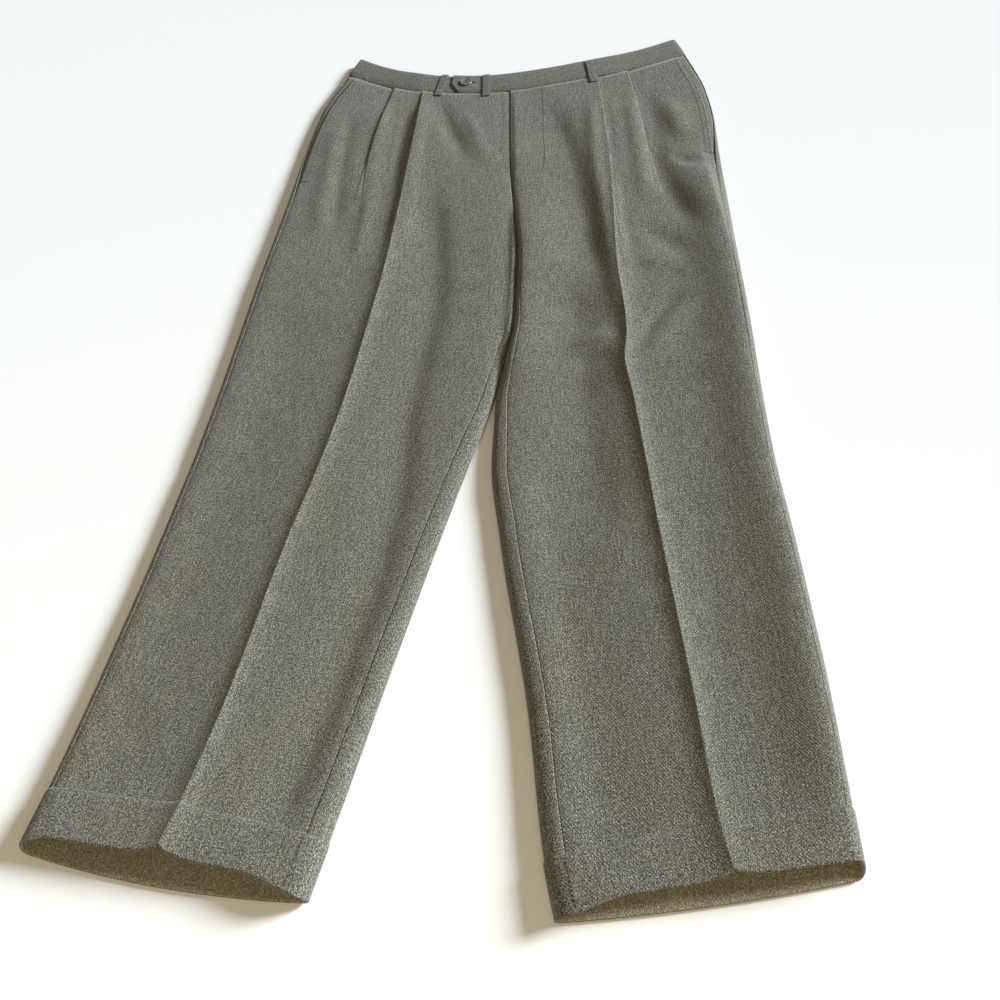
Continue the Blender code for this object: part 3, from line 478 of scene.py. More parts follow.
# Colours, linear
BLACK, WHITE = (0.0, 0.0, 0.0, 1.0), (1.0, 1.0, 1.0, 1.0)
FIBRE_DARK = (0.012, 0.012, 0.010, 1.0)
FIBRE_MIDDLE = (0.144, 0.138, 0.109, 1.0)
FIBRE_LIGHT = (0.530, 0.515, 0.440, 1.0)
FIBRE_WARM = (0.200, 0.180, 0.130, 1.0)
FIBRE_COOL = (0.166, 0.175, 0.168, 1.0)
# A brown mixed into the flannel: a trace for its own tone, and a large share on its inside copy, where it is
# painted warm light.
BROWN_TONE_AND_WARM_LIGHT = (0.205, 0.165, 0.098, 1.0)
SHEEN_TINT = (0.86, 0.90, 0.92, 1.0)
THREAD = (0.085, 0.080, 0.065, 1.0)
# Near-black thread: the stitches are real, but this dark paints the shade of the grooves they sit in and, as
# one rod, the shade in the buttonhole's slit.
THREAD_AND_SEAM_SHADE = (0.030, 0.028, 0.022, 1.0)
HORN_DARK = (0.110, 0.112, 0.096, 1.0)
HORN_MIDDLE = (0.210, 0.213, 0.182, 1.0)
HORN_LIGHT = (0.330, 0.335, 0.290, 1.0)
FLOOR_COLOUR = (0.90, 0.90, 0.90, 1.0)
BACKDROP_BASE = (0.02, 0.02, 0.02, 1.0)
BACKDROP_COLOURS = (0.80, 0.81, 0.81, 1.0), (0.83, 0.84, 0.84, 1.0)

# The flannel's grains: their size across and along the cloth, and their shares of its colour.
GRAIN_COLUMNS = ("wide", "long", "share")
GRAIN_ROWS = (
    (0.00076, 0.00125, 0.66),  # flecks
    (0.0018, 0.0032, 0.20),  # slubs, where a thread is thicker
    (0.0017, 0.0180, 0.14),  # threads that are darker or lighter for a while
)
TWILL_PITCH = 0.0011
TWILL_TURN = 35  # degrees from the grain
TWILL_SHARE = 0.08
DRIFT = 0.070  # distance over which the colour drifts
DRIFT_SHARE = 0.20


def flannel(name, shade, warmth):
    """Melange flannel: flecks of dark and light fibre along the grain, a faint twill and a drift of colour.

    shade multiplies its colours and warmth is the share of brown in it. The inside's copy, brighter and
    browner, paints the warm bounce light and shade that fall inside the hems.
    """
    made = Nodes(name)
    cloth = made.add("ShaderNodeUVMap", {}, "UV", uv_map="cloth")
    grains, blend = [], 0.0
    for grain in named(GRAIN_ROWS, GRAIN_COLUMNS):
        sized = made.stretched(cloth, (1 / grain["wide"], 1 / grain["long"], 1.0))
        grains.append(made.noise(sized, 1.0, 1.0, 0.5))
        blend = made.plus(blend, made.times(grains[-1], grain["share"]))
    drift = made.noise(made.stretched(cloth, (1 / DRIFT, 0.6 / DRIFT, 1.0)), 1.0, 2.0, 0.5)
    turned = made.stretched(cloth, (1.0, 1.0, 1.0), math.radians(TWILL_TURN))
    wave = {"Vector": turned, "Scale": 1 / TWILL_PITCH / math.tau}
    wave |= {"Distortion": 1.2, "Detail": 1.0, "Detail Scale": 2.0}
    twill = made.add("ShaderNodeTexWave", wave, "Fac", wave_type="BANDS", bands_direction="X")
    colour = made.ramp(blend, [(0.38, FIBRE_DARK), (0.50, FIBRE_MIDDLE), (0.62, FIBRE_LIGHT)])
    tint = made.mix(made.ramp(drift, [(0.34, BLACK), (0.66, WHITE)]), FIBRE_WARM, FIBRE_COOL)
    colour = made.mix(DRIFT_SHARE, colour, tint)
    colour = made.mix(warmth, colour, BROWN_TONE_AND_WARM_LIGHT)
    colour = made.mix(made.times(twill, TWILL_SHARE), colour, FIBRE_DARK)
    colour = made.mix(1.0, colour, (shade, shade, shade, 1.0), "MULTIPLY")
    height = made.plus(made.times(grains[0], 0.8), made.times(twill, 0.35))
    return made.finish(
        Base_Color=colour,
        Roughness=made.plus(made.times(grains[0], 0.16), 0.80),
        Normal=made.bump(height, 0.0006, 0.55),
        Sheen_Weight=0.22,
        Sheen_Roughness=0.45,
        Sheen_Tint=SHEEN_TINT,
        Specular_IOR_Level=0.25,
    )


def horn(name):
    """Mottled grey horn, polished."""
    made = Nodes(name)
    place = made.place()
    cloud = made.noise(place, 320.0, 4.0, 0.6)
    streak = made.noise(made.stretched(place, (220.0, 60.0, 220.0)), 3.0, 3.0, 0.6)
    colour = made.ramp(cloud, [(0.34, HORN_DARK), (0.52, HORN_MIDDLE), (0.70, HORN_LIGHT)])
    return made.finish(
        Base_Color=made.mix(made.times(streak, 0.5), colour, HORN_DARK),
        Roughness=made.plus(made.times(cloud, 0.25), 0.16),
        Normal=made.bump(made.noise(place, 1400.0, 2.0, 0.5), 0.0001, 0.3),
        IOR=1.55,
        Coat_Weight=0.3,
        Coat_Roughness=0.08,
    )


def thread(name, colour):
    """Twisted thread."""
    made = Nodes(name)
    strand = made.noise(made.stretched(made.place(), (1.0, 1.0, 1.0), 0.7), 2600.0, 2.0, 0.5)
    light = tuple(min(1.0, 1.8 * each) for each in colour[:3]) + (1.0,)
    return made.finish(
        Base_Color=made.ramp(strand, [(0.35, colour), (0.65, light)]),
        Roughness=0.62,
        Normal=made.bump(strand, 0.0001, 0.5),
        Sheen_Weight=0.2,
    )


def backdrop_paint(name):
    """Pale paper far behind, evenly lit."""
    made = Nodes(name)
    low, high = BACKDROP_COLOURS
    tooth = made.ramp(made.noise(made.place(), 3.0, 2.0, 0.5), [(0.3, low), (0.7, high)])
    made.finish(Base_Color=BACKDROP_BASE, Roughness=1.0)
    return made.finish(Emission_Color=tooth, Emission_Strength=1.0)


def floor_paint(name):
    """Matt white paper."""
    made = Nodes(name)
    tooth = made.noise(made.place(), 900.0, 3.0, 0.6)
    dimmer = tuple(0.97 * each for each in FLOOR_COLOUR[:3]) + (1.0,)
    return made.finish(
        Base_Color=made.ramp(tooth, [(0.3, dimmer), (0.7, FLOOR_COLOUR)]),
        Roughness=0.85,
        Normal=made.bump(tooth, 0.0002, 0.1),
        Specular_IOR_Level=0.1,
    )


CLOTH = flannel("Flannel", shade=0.71, warmth=0.02)
# The flannel's copy for its inner faces: brighter and browner, with the warm bounce light inside the hems
# painted in.
CLOTH_INSIDE_PAINTED_LIGHT = flannel("Flannel inside painted light", shade=1.35, warmth=0.45)
BAND_FINISH = flannel("Flannel waistband", shade=0.63, warmth=0.10)
HORN = horn("Horn")
THREAD_FINISH = thread("Thread", THREAD)
# The fine stitches' thread, darkened to paint the shade along their seams.
THREAD_PAINTED_SEAM_SHADE = thread("Thread with painted seam shade", THREAD_AND_SEAM_SHADE)


class Leg:
    """One leg with its half of the hips, as sections across it at a distance below the waist seam.

    sign is -1 for the wearer's right and 1 for the left.
    """

    def __init__(self, rows, mouth, pleats, sign, stands):
        self.rows, self.mouth, self.pleats = rows, mouth, named(pleats, PLEAT_COLUMNS)
        self.sign, self.stands = sign, stands
        crease = np.array([column(rows, LEG_COLUMNS, "crease_x"), column(rows, LEG_COLUMNS, "crease_y")])
        steps = np.linalg.norm(np.diff(crease), axis=0)
        self.downs = np.concatenate([[0.0], np.cumsum(steps)])
        self.hem, self.turn_up_top = self.downs[-1], self.downs[-2]

    def section(self, down):
        """The numbers of the section at this distance, as a dictionary."""
        row = {}
        for name in LEG_COLUMNS:
            row[name] = float(through(self.downs, column(self.rows, LEG_COLUMNS, name), down))
        for name in MOUTH_COLUMNS:
            downs = self.downs[-len(self.mouth):]
            row[name] = float(through(downs, column(self.mouth, MOUTH_COLUMNS, name), down))
        if row["inner_y"] > FORK_Y:
            row["inner_x"] = float(at_row(CENTRE_ROWS[::-1], CENTRE_COLUMNS, "y", "x", row["inner_y"]))
        if self.sign < 0:
            row["inner_z"] -= OUTSIDE * float(1 - smooth((down - UNDERLAP_END - LAP_SETTLE) / LAP_LEVEL))
        row["inner_x"] += self.sign * (GAP / 2 + float(smooth(row["roll"] * 5)) * (WALL + GAP / 2) / 2)
        row["down"], row["stands"] = down, self.stands
        for name in SIDE_COLUMNS[1:]:
            downs = column(SIDE_ROWS, SIDE_COLUMNS, "down")
            row[name] = float(np.interp(down, downs, column(SIDE_ROWS, SIDE_COLUMNS, name)))
        row["rise"] = SEAM_RISE * float(1 - smooth(down / SEAM_RISE_END))
        waist_lift = (BACK_LIFT + BAND_WALL / 2 - WALL / 2) * float(1 - smooth(down / WAIST_LIFT_END))
        lift_starts, lift_ends = self.turn_up_top - HEM_LIFT_ABOVE, self.turn_up_top - HEM_LIFT_END
        hem_lift = OUTSIDE * float(smooth((down - lift_starts) / (lift_ends - lift_starts)))
        row["floor_z"] = WALL / 2 + waist_lift + hem_lift
        for place in ("inner", "crease", "outer"):
            row[place] = np.array([row[place + "_x"], row[place + "_y"]])
        row["crease_at"] = float(np.linalg.norm(row["crease"] - row["inner"]))
        row["width"] = row["crease_at"] + float(np.linalg.norm(row["outer"] - row["crease"]))
        row["pleat_at"], row["closed"], row["pitch"] = [], [], []
        for pleat in self.pleats:
            opens, fades = pleat["open"], pleat["fade"]
            outs = (pleat["out_top"], pleat["out_mid"], pleat["out_end"])
            out = float(through((0.0, opens, opens + fades), outs, down))
            # Its layers stop overlapping where it is half closed.
            shut = 1 - 0.5 * down / opens if down < opens else 0.5 * max(0.0, 1 - (down - opens) / fades)
            row["pleat_at"].append(row["crease_at"] + out)
            row["closed"].append(shut)
            row["pitch"].append(PLEAT_PITCH * float(smooth(shut / 0.5)))
        row["drop"] = 2 * sum(row["pitch"])
        return row


def plan(row, across, under):
    """Plan places at these distances along the section; under is 0 on the front and 1 on the back."""
    across, under = np.asarray(across, float), np.asarray(under, float)
    mid, end = row["crease_at"], row["width"]
    at_inner = (across - mid) * (across - end) / (mid * end)
    at_crease = across * (across - end) / (mid * (mid - end))
    at_outer = across * (across - mid) / (end * (end - mid))
    found = np.outer(at_inner, row["inner"])
    found += np.outer(at_crease, row["crease"])
    found += np.outer(at_outer, row["outer"])
    found[:, 1] += under * row["rise"] * (1 - (across / end) ** 2)
    chord = (row["outer"] - row["inner"]) / np.linalg.norm(row["outer"] - row["inner"])
    to_waist = np.array([-chord[1], chord[0]]) * (1.0 if chord[0] > 0 else -1.0)
    from_inner = smooth(across / MOUTH_INNER)
    from_outer = row["stands"] + (1 - row["stands"]) * smooth((end - across) / MOUTH_OUTER)
    front = row["set_back"] * from_inner * from_outer
    front += row["peak_back"] * np.exp(-np.abs(across - mid) / PEAK_REACH)
    return found + np.outer((1 - under) * front - under * row["back_drop"] * at_crease, to_waist)


def crown(row, across):
    """Height of the upper cloth, before any pleat steps it down."""
    across = np.asarray(across, float)
    mid, end = row["crease_at"], row["width"]
    outer_z = row["outer_z"] + row["drop"]
    toward = np.clip(np.where(across < mid, across / mid, (end - across) / (end - mid)), 0.0, 1.0)
    edge = np.where(across < mid, row["inner_z"], outer_z)
    shape = PLATEAU * (1 - np.exp(-toward / EDGE_ROLL)) + (1 - PLATEAU) * np.exp((toward - 1) / CREST)
    return edge + (row["crease_z"] - edge) * shape


def half_open(row, outer):
    """Half the height between the two layers at a side fold."""
    return ((row["outer_z"] if outer else row["inner_z"]) - row["floor_z"]) / 2


def round_fold(row, outer, path):
    """Along a side fold's quarter round: (distance in from the edge, drop below the layer, its length)."""
    path = np.asarray(path, float)
    roll = 1.0 if outer else row["roll"]
    half = half_open(row, outer)
    quarter = roll * math.hypot(EDGE_RADIUS, half) * math.pi / (2 * math.sqrt(2)) + TINY
    turn = np.clip(path / quarter, 0.0, 1.0) * math.pi / 2
    inward = roll * EDGE_RADIUS * (1 - np.cos(turn)) + np.maximum(path - quarter, 0.0)
    drop = roll * half * (1 - np.sin(turn))
    return inward, drop, quarter


def fold(depth, closed, pitch, along):
    """A pleat's section at these lengths of cloth from its fold edge: (distance out, drop)."""
    along = np.asarray(along, float)
    folded = np.where(along < 0, along, np.where(along < depth, -along, along - 2 * depth))
    out = (1 - closed) * along + closed * folded
    turn = PLEAT_TURN
    drop = pitch * (smooth((along + turn) / (2 * turn)) + smooth((along - depth + turn) / (2 * turn)))
    return out, drop


def side_path(row, path, outer):
    """Places along the cloth from a side fold, path > 0 on the upper layer and < 0 on the lower one.

    Each is x, y, z and how far it belongs to the upper layer, from 0 to 1.
    """
    path = np.asarray(path, float)
    half = half_open(row, outer)
    inward, drop, _ = round_fold(row, outer, np.abs(path))
    across = row["width"] - inward if outer else inward
    upper = crown(row, across) - (row["drop"] if outer else 0.0) - drop
    z = np.where(path >= 0, upper, row["floor_z"] + drop)
    under = np.where(path >= 0, drop / (2 * half), 1 - drop / (2 * half))
    return np.column_stack([plan(row, across, under), z, 1 - under])


def pleat_steps(depth):
    """Lengths of cloth from a pleat's fold edge to its section's points, close together at its turns."""
    turns = [-PLEAT_MARGIN, -PLEAT_TURN, PLEAT_TURN]
    turns += [depth - PLEAT_TURN, depth + PLEAT_TURN, depth + PLEAT_MARGIN]
    counts = [FLAT_POINTS, FOLD_POINTS, FLAT_POINTS, FOLD_POINTS, FLAT_POINTS]
    runs = [np.linspace(turns[k], turns[k + 1], n)[:-1] for k, n in enumerate(counts)]
    return np.concatenate([*runs, turns[-1:]])


def front_section(leg, row):
    """Points across the front, from its inner side to its outer side."""
    _, _, quarter = round_fold(row, False, 0.0)
    start = row["seam_in"]
    stop = row["pleat_at"][0] - PLEAT_MARGIN - row["roll"] * EDGE_RADIUS + quarter
    if leg.sign < 0:
        start -= UNDERLAP * float(smooth((UNDERLAP_END - row["down"]) / UNDERLAP_FADE))
    paths = start + (stop - start) * INNER_STEPS
    inner = side_path(row, np.maximum(paths, 0.0), False)
    under = paths < 0
    inner[under, :2] = plan(row, paths[under], 0.0 * paths[under])
    across, drops, dropped = [], [], 0.0
    for number, pleat in enumerate(leg.pleats):
        depth = pleat["depth"]
        out, drop = fold(depth, row["closed"][number], row["pitch"][number], pleat_steps(depth))
        at = row["pleat_at"][number] + out
        if number:
            between = across[-1][-1] + (at[0] - across[-1][-1]) * MIDDLE_STEPS
            across.append(between)
            drops.append(np.full(len(between), dropped))
        across.append(at)
        drops.append(dropped + drop)
        dropped += drop[-1]
    across, drops = np.concatenate(across), np.concatenate(drops)
    flat = 0.0 * across
    middle = np.column_stack([plan(row, across, flat), crown(row, across) - drops, flat + 1.0])
    _, _, quarter = round_fold(row, True, 0.0)
    begin = row["width"] - across[-1] - EDGE_RADIUS + quarter
    outer = side_path(row, begin + (row["front_in"] - begin) * OUTER_STEPS, True)
    return np.vstack([inner, middle, outer[1:]])


def back_section(leg, row):
    """Points across the back, from its inner side round under the leg to its outer side."""
    start = max(row["seam_in"], -BELOW)
    inner = side_path(row, start - (start + BACK_EDGE_REACH) * BACK_EDGE_STEPS, False)
    end = row["back_in"]
    outer = side_path(row, end - (end + BACK_EDGE_REACH) * BACK_EDGE_STEPS, True)[::-1]
    from_inner, _, _ = round_fold(row, False, BACK_EDGE_REACH)
    from_outer, _, _ = round_fold(row, True, BACK_EDGE_REACH)
    first, last = float(from_inner), row["width"] - float(from_outer)
    across = first + (last - first) * BACK_STEPS
    flat = 0.0 * across
    middle = np.column_stack([plan(row, across, flat + 1.0), row["floor_z"] + flat, flat])
    return np.vstack([inner, middle, outer])


LEGS = {
    "right": Leg(RIGHT_LEG_ROWS, RIGHT_MOUTH_ROWS, RIGHT_PLEATS, -1.0, RIGHT_MOUTH_STANDS),
    "left": Leg(LEFT_LEG_ROWS, LEFT_MOUTH_ROWS, LEFT_PLEATS, 1.0, LEFT_MOUTH_STANDS),
}


def shift_to_frame():
    """How far the plan's places are from the frame's, from the button's box."""
    low, high = (np.array(corner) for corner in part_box("button"))
    under = LEGS["left"].section(0.0)["inner_z"] + BAND_WALL / 2 + GAP
    return np.array([*((low + high)[:2] / 2 - BUTTON_PLACE), low[2] - under])


SHIFT = shift_to_frame()


def tangents(grid, axis, ring):
    """Directions along one axis of a grid, halfway between those of the spaces on either side."""
    steps = np.diff(grid, axis=axis)
    if ring:
        closing = np.take(grid, [0], axis=axis) - np.take(grid, [-1], axis=axis)
        steps = np.concatenate([closing, steps, closing], axis=axis)
    else:
        first, last = np.take(steps, [0], axis=axis), np.take(steps, [-1], axis=axis)
        steps = np.concatenate([first, steps, last], axis=axis)
    steps = unit(steps)
    count = grid.shape[axis]
    return np.take(steps, range(count), axis=axis) + np.take(steps, range(1, count + 1), axis=axis)


def normals_of(grid, ring=False):
    """Unit normals of a grid of points; ring closes each row on itself."""
    return unit(np.cross(tangents(grid, 1, ring), tangents(grid, 0, False)))


def outward(normals, at):
    """The normals, turned so that those of this column point up."""
    return normals if normals[:, at, 2].mean() > 0 else -normals


def curve_through(places, count):
    """A smooth line through these places, as count points."""
    places = np.array(places)
    steps = np.concatenate([[0.0], np.cumsum(np.linalg.norm(np.diff(places, axis=0), axis=1))])
    at = np.linspace(0.0, steps[-1], count)
    cell = np.clip(np.searchsorted(steps, at, side="right") - 1, 0, len(steps) - 2)
    span = steps[cell + 1] - steps[cell]
    share = ((at - steps[cell]) / span)[:, None]
    return cubic(share, places, np.gradient(places, steps, axis=0), cell, span[:, None])


def relief(points, folds):
    """Height that the soft folds add at these plan places."""
    added = np.zeros(len(points))
    for soft in named(folds, FOLD_COLUMNS):
        line = curve_through(soft["path"], FOLD_PATH_POINTS)
        whole = np.linalg.norm(np.diff(line, axis=0), axis=1).sum()
        reach = FOLD_REACH * max(soft["near"], soft["far"])
        inside = (points > line.min(0) - reach) & (points < line.max(0) + reach)
        close = np.flatnonzero(np.all(inside, axis=1))
        if not len(close):
            continue
        spot = points[close]
        start, along = line[:-1], np.diff(line, axis=0)
        length = np.linalg.norm(along, axis=1)
        toward = spot[:, None] - start
        share = np.clip((toward * along).sum(2) / length**2, 0.0, 1.0)
        away = toward - share[:, :, None] * along
        distance = np.linalg.norm(away, axis=2)
        nearest = distance.argmin(axis=1)
        pick = np.arange(len(spot))
        part = (nearest + share[pick, nearest]) / len(along)
        aside = along[nearest, 0] * away[pick, nearest, 1] - along[nearest, 1] * away[pick, nearest, 0]
        width = np.where(aside < 0, soft["near"], soft["far"])
        rising = min(FOLD_TAPER * (1 + abs(soft["depth"]) / FOLD_STEADY) / whole, FOLD_RISES)
        taper = smooth(part / rising) * smooth((1 - part) / rising)
        added[close] -= soft["depth"] * taper * np.exp(-((distance[pick, nearest] / width) ** 2))
    return added


def unevenness(points):
    """The cloth's own slight waves."""
    found = []
    for x, y in points:
        broad = noise.noise((x / WAVE_LENGTH, y / WAVE_LENGTH, 0.0))
        fine = noise.noise((x / WAVE_FINE[0], y / WAVE_FINE[1], WAVE_APART))
        found.append(broad + WAVE_FINE_SHARE * fine)
    return WAVE * np.array(found)


def pressed(leg, downs, grid):
    """The front's grid with the crease's pressed ridge along it."""
    for i, down in enumerate(downs):
        row = leg.section(down)
        away = np.linalg.norm(grid[i, :, :2] - row["crease"], axis=1)
        rise = float(at_row(CREASE_ROWS, CREASE_COLUMNS, "down", "rise", down)) * np.exp(-away / CREASE_WIDE)
        rise += CREASE_SWELL * row["ridge"] * np.exp(-away / CREASE_REACH)
        grid[i, :, 2] += rise * grid[i, :, 3]
    return grid


def lie(grid):
    """The grid of x, y, z with its soft folds, from one of x, y, z and share of the upper layer."""
    flat = grid.reshape(-1, 4)
    upper = flat[:, 3]
    height = relief(flat[:, :2], FRONT_FOLDS) + unevenness(flat[:, :2])
    beneath = relief(flat[:, :2], BACK_FOLDS)
    z = flat[:, 2] + upper * height - (1 - upper) * np.minimum(beneath, 0.0)
    return np.column_stack([flat[:, :2], z]).reshape(*grid.shape[:2], 3)


def front_grid(leg, downs):
    return lie(pressed(leg, downs, np.array([front_section(leg, leg.section(down)) for down in downs])))


def back_grid(leg, downs):
    return lie(np.array([back_section(leg, leg.section(down)) for down in downs]))


def from_edge(grid, axis, at_end):
    """Length of cloth to a grid's edge, at each point."""
    steps = np.linalg.norm(np.diff(grid, axis=axis), axis=2)
    zero = np.zeros_like(np.take(steps, [0], axis=axis))
    if at_end:
        flipped = np.cumsum(np.concatenate([zero, np.flip(steps, axis)], axis=axis), axis=axis)
        return np.flip(flipped, axis)
    return np.cumsum(np.concatenate([zero, steps], axis=axis), axis=axis)


def sink_edges(grid, normals, edges):
    """The grid with some of its edges pulled in along the normals: (axis, at_end, depth) for each."""
    for axis, at_end, depth in edges:
        sunk = depth * np.exp(-((from_edge(grid, axis, at_end) / SEAM_SOFT) ** 2))
        grid = grid - normals * sunk[:, :, None]
    return grid


def cloth_lengths(grid, middle):
    """Lengths along the cloth, across from the middle column and down from the first row, in metres."""
    across = from_edge(grid, 1, False)
    across = across - across[:, middle : middle + 1]
    down = from_edge(grid, 0, False)
    return np.dstack([across, np.broadcast_to(down[:, middle : middle + 1], across.shape)])


def placed(name, data):
    """A new object in the scene."""
    made = bpy.data.objects.new(name, data)
    bpy.context.scene.collection.objects.link(made)
    return made


def link(name, mesh, finishes, replaced=()):
    """A piece on the root body, with its finishes and what it stands for."""
    made = placed(name, mesh)
    for each in finishes:
        made.data.materials.append(each)
    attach(made, "root")
    if replaced:
        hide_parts(*replaced)
    return made


def declare(rests_on):
    """Makes the names of what a piece of cloth rests on into their cloth's names; nothing is kept or stated.
    """
    rests_on = [each if each == "floor" else each + "_cloth" for each in rests_on]


def grid_faces(rows, columns, ring):
    """The faces of a grid of points, row by row; ring closes each row on itself."""
    faces = []
    for i in range(rows - 1):
        for j in range(columns if ring else columns - 1):
            k = (j + 1) % columns
            faces.append((i * columns + j, i * columns + k, (i + 1) * columns + k, (i + 1) * columns + j))
    return faces


def cloth_piece(
    part, grid, lengths, rests_on,
    wall=CLOTH_WALL, finishes=(CLOTH, CLOTH_INSIDE_PAINTED_LIGHT),
    bevel=0.0, faces_up=True, ring=False, inside_row=None,
):
    """A grid of points made into cloth with a thickness, in place of the solid of that name.

    lengths are its lengths of cloth. Its right side faces up in the middle of its first row, or down. ring
    closes each row on itself. The second finish, a copy of the flannel with painted warm light, goes on the
    side facing away from its right side and on the rows from inside_row on.
    """
    name = part + "_cloth"
    mesh = bpy.data.meshes.new(name)
    faces = grid_faces(*grid.shape[:2], ring)
    middle = grid.shape[1] // 3
    turn = np.cross(grid[0, middle + 1] - grid[0, middle], grid[1, middle] - grid[0, middle])[2]
    if (turn > 0) != faces_up:
        faces = [face[::-1] for face in faces]
    mesh.from_pydata((grid.reshape(-1, 3) + SHIFT).tolist(), [], faces)
    layer = mesh.uv_layers.new(name="cloth")
    corner = np.empty(len(mesh.loops), dtype=np.int32)
    mesh.loops.foreach_get("vertex_index", corner)
    layer.data.foreach_set("uv", lengths.reshape(-1, 2)[corner].astype(np.float32).ravel())
    mesh.update()
    mesh.shade_smooth()
    made = link(name, mesh, finishes, [part])
    if inside_row:
        for face in mesh.polygons:
            face.material_index = int(face.index // grid.shape[1] >= inside_row)
    thick = made.modifiers.new("Cloth", "SOLIDIFY")
    thick.thickness = wall
    thick.offset = 0.0
    # The other face of the cloth takes the second finish, the copy with painted warm light.
    if len(finishes) > 1:
        thick.material_offset = 1
    if bevel:
        soften = made.modifiers.new("Edges", "BEVEL")
        soften.width = bevel
        soften.segments = 3
        soften.limit_method = "ANGLE"
        soften.angle_limit = math.radians(60)
    if ring:
        grid = np.concatenate([grid, grid[:, :1]], axis=1)
    declare(rests_on)


def build_panels(leg, side):
    """The front and the back of one leg."""
    downs = np.linspace(WAIST_REACH, leg.hem, LEG_ROWS)
    front = front_grid(leg, downs)
    out = outward(normals_of(front), CREASE_COLUMN)
    front = sink_edges(front, out, [(1, False, SEAM_DIP), (1, True, EDGE_ROUND), (0, False, EDGE_ROUND)])
    cloth_piece(f"front_{side}", front, cloth_lengths(front, CREASE_COLUMN), [f"back_{side}"])
    back = back_grid(leg, downs)
    middle = back.shape[1] // 2
    out = -outward(normals_of(back), middle)
    back = sink_edges(back, out, [(1, False, SEAM_DIP), (1, True, SEAM_DIP)])
    cloth_piece(f"back_{side}", back, cloth_lengths(back, middle), ["floor"], faces_up=False)


TURN_UP_OUT = 0.0011  # from the leg's cloth to the turn-up's
TURN_UP_SINKS = (1.15, 0.60, 0.25, 0.08)  # shares of it by which its top rows lie nearer the leg
TURN_UP_ROWS = 36
TURN_UP_FOLD = 8  # points round the hem
TURN_IN = 0.030  # how far the hem reaches up inside the leg


def build_turn_up(leg, side):
    """The turned-up hem: outside the leg from its top edge to the hem, round it, and a little way up."""
    inner_rows = max(2, int(TURN_UP_ROWS * TURN_IN / (leg.hem - leg.turn_up_top)))
    downs = np.linspace(leg.turn_up_top, leg.hem, TURN_UP_ROWS)
    fronts, backs = front_grid(leg, downs), back_grid(leg, downs)
    ring = np.concatenate([fronts[:, 1:-1], backs[:, ::-1]], axis=1)
    out = outward(normals_of(ring, ring=True), fronts.shape[1] // 2)
    shell = ring + TURN_UP_OUT * out
    for i, sunk in enumerate(TURN_UP_SINKS):
        shell[i] -= out[i] * sunk * TURN_UP_OUT
    down = unit(ring[-1] - ring[-2])
    fold_rows = []
    for turn in np.linspace(0.0, math.pi, TURN_UP_FOLD)[1:]:
        fold_rows.append(ring[-1] + TURN_UP_OUT * (out[-1] * math.cos(turn) + down * math.sin(turn)))
    inside = (ring - TURN_UP_OUT * out)[-2 : -2 - inner_rows : -1]
    grid = np.concatenate([shell, np.array(fold_rows), inside], axis=0)
    crease = CREASE_COLUMN - 1  # the ring leaves out the front's first column
    # Its rows inside the leg take the copy of the flannel with painted warm light.
    cloth_piece(
        f"turn_up_{side}", grid, cloth_lengths(grid, crease), [f"front_{side}", f"back_{side}"],
        ring=True, inside_row=TURN_UP_ROWS + TURN_UP_FOLD // 2,
    )


def build_pocket_facing(leg, side):
    """The strip that shows in the pocket's mouth, one layer under the front."""
    rows = []
    for down in np.linspace(WAIST_REACH, POCKET_END, LEG_ROWS // 4):
        row = leg.section(down)
        paths = np.linspace(row["back_in"] + GAP, row["front_in"] + POCKET_UNDER, FACING_STEPS)
        rows.append(side_path(row, paths, True))
    grid = lie(np.array(rows))
    grid = grid - OUTSIDE * outward(normals_of(grid), FACING_STEPS // 2)
    lengths = cloth_lengths(grid, 0)
    cloth_piece(
        f"pocket_facing_{side}", grid, lengths, [f"front_{side}"], finishes=[CLOTH]
    )


def band_line(leg, across, under):
    """The waist seam's plan places, and the direction across the waistband there."""
    row = leg.section(0.0)
    across = np.asarray(across, float)
    lean = BAND_LEAN * (np.clip(across, 0.0, None) / row["width"]) ** 2
    up = np.column_stack([-leg.sign * lean, np.ones(len(across))])
    return plan(row, across, under), unit(up)


def band_points(leg, across, z, under, share):
    """Points of the waistband at this share of its height."""
    seam, up = band_line(leg, across, under)
    return np.column_stack([seam + up * BAND_HEIGHT * share, z])


def band_front_z(leg, across):
    """Height of the waistband's middle on the front."""
    name = "left_z" if leg.sign > 0 else "right_z"
    share = np.clip(np.asarray(across, float) / leg.section(0.0)["width"], 0.0, 1.0)
    return at_row(BAND_ROWS, BAND_COLUMNS, "share", name, share)


BAND_SHARES = np.linspace(0.0, 1.0, BAND_RISE_STEPS)
BAND_SHOWN_WALL = 0.0018  # the waistband's two layers, pressed together
BAND_BEVEL = 0.0006
BAND_FULLNESS = 0.0006  # how far its middle stands above its edges
BAND_EDGE_SINKS, BAND_EDGE_SHARE = 0.0008, 0.12  # how far its lower edge is pulled down, and over what share
BAND_WAVE = 0.6  # share of the cloth's unevenness that it has
TAB_COLUMNS = 60
TAB_SETTLES = 0.0008  # how far the tab lies below the rest of its waistband
TAB_SETTLES_OVER = 0.03  # length over which it comes down


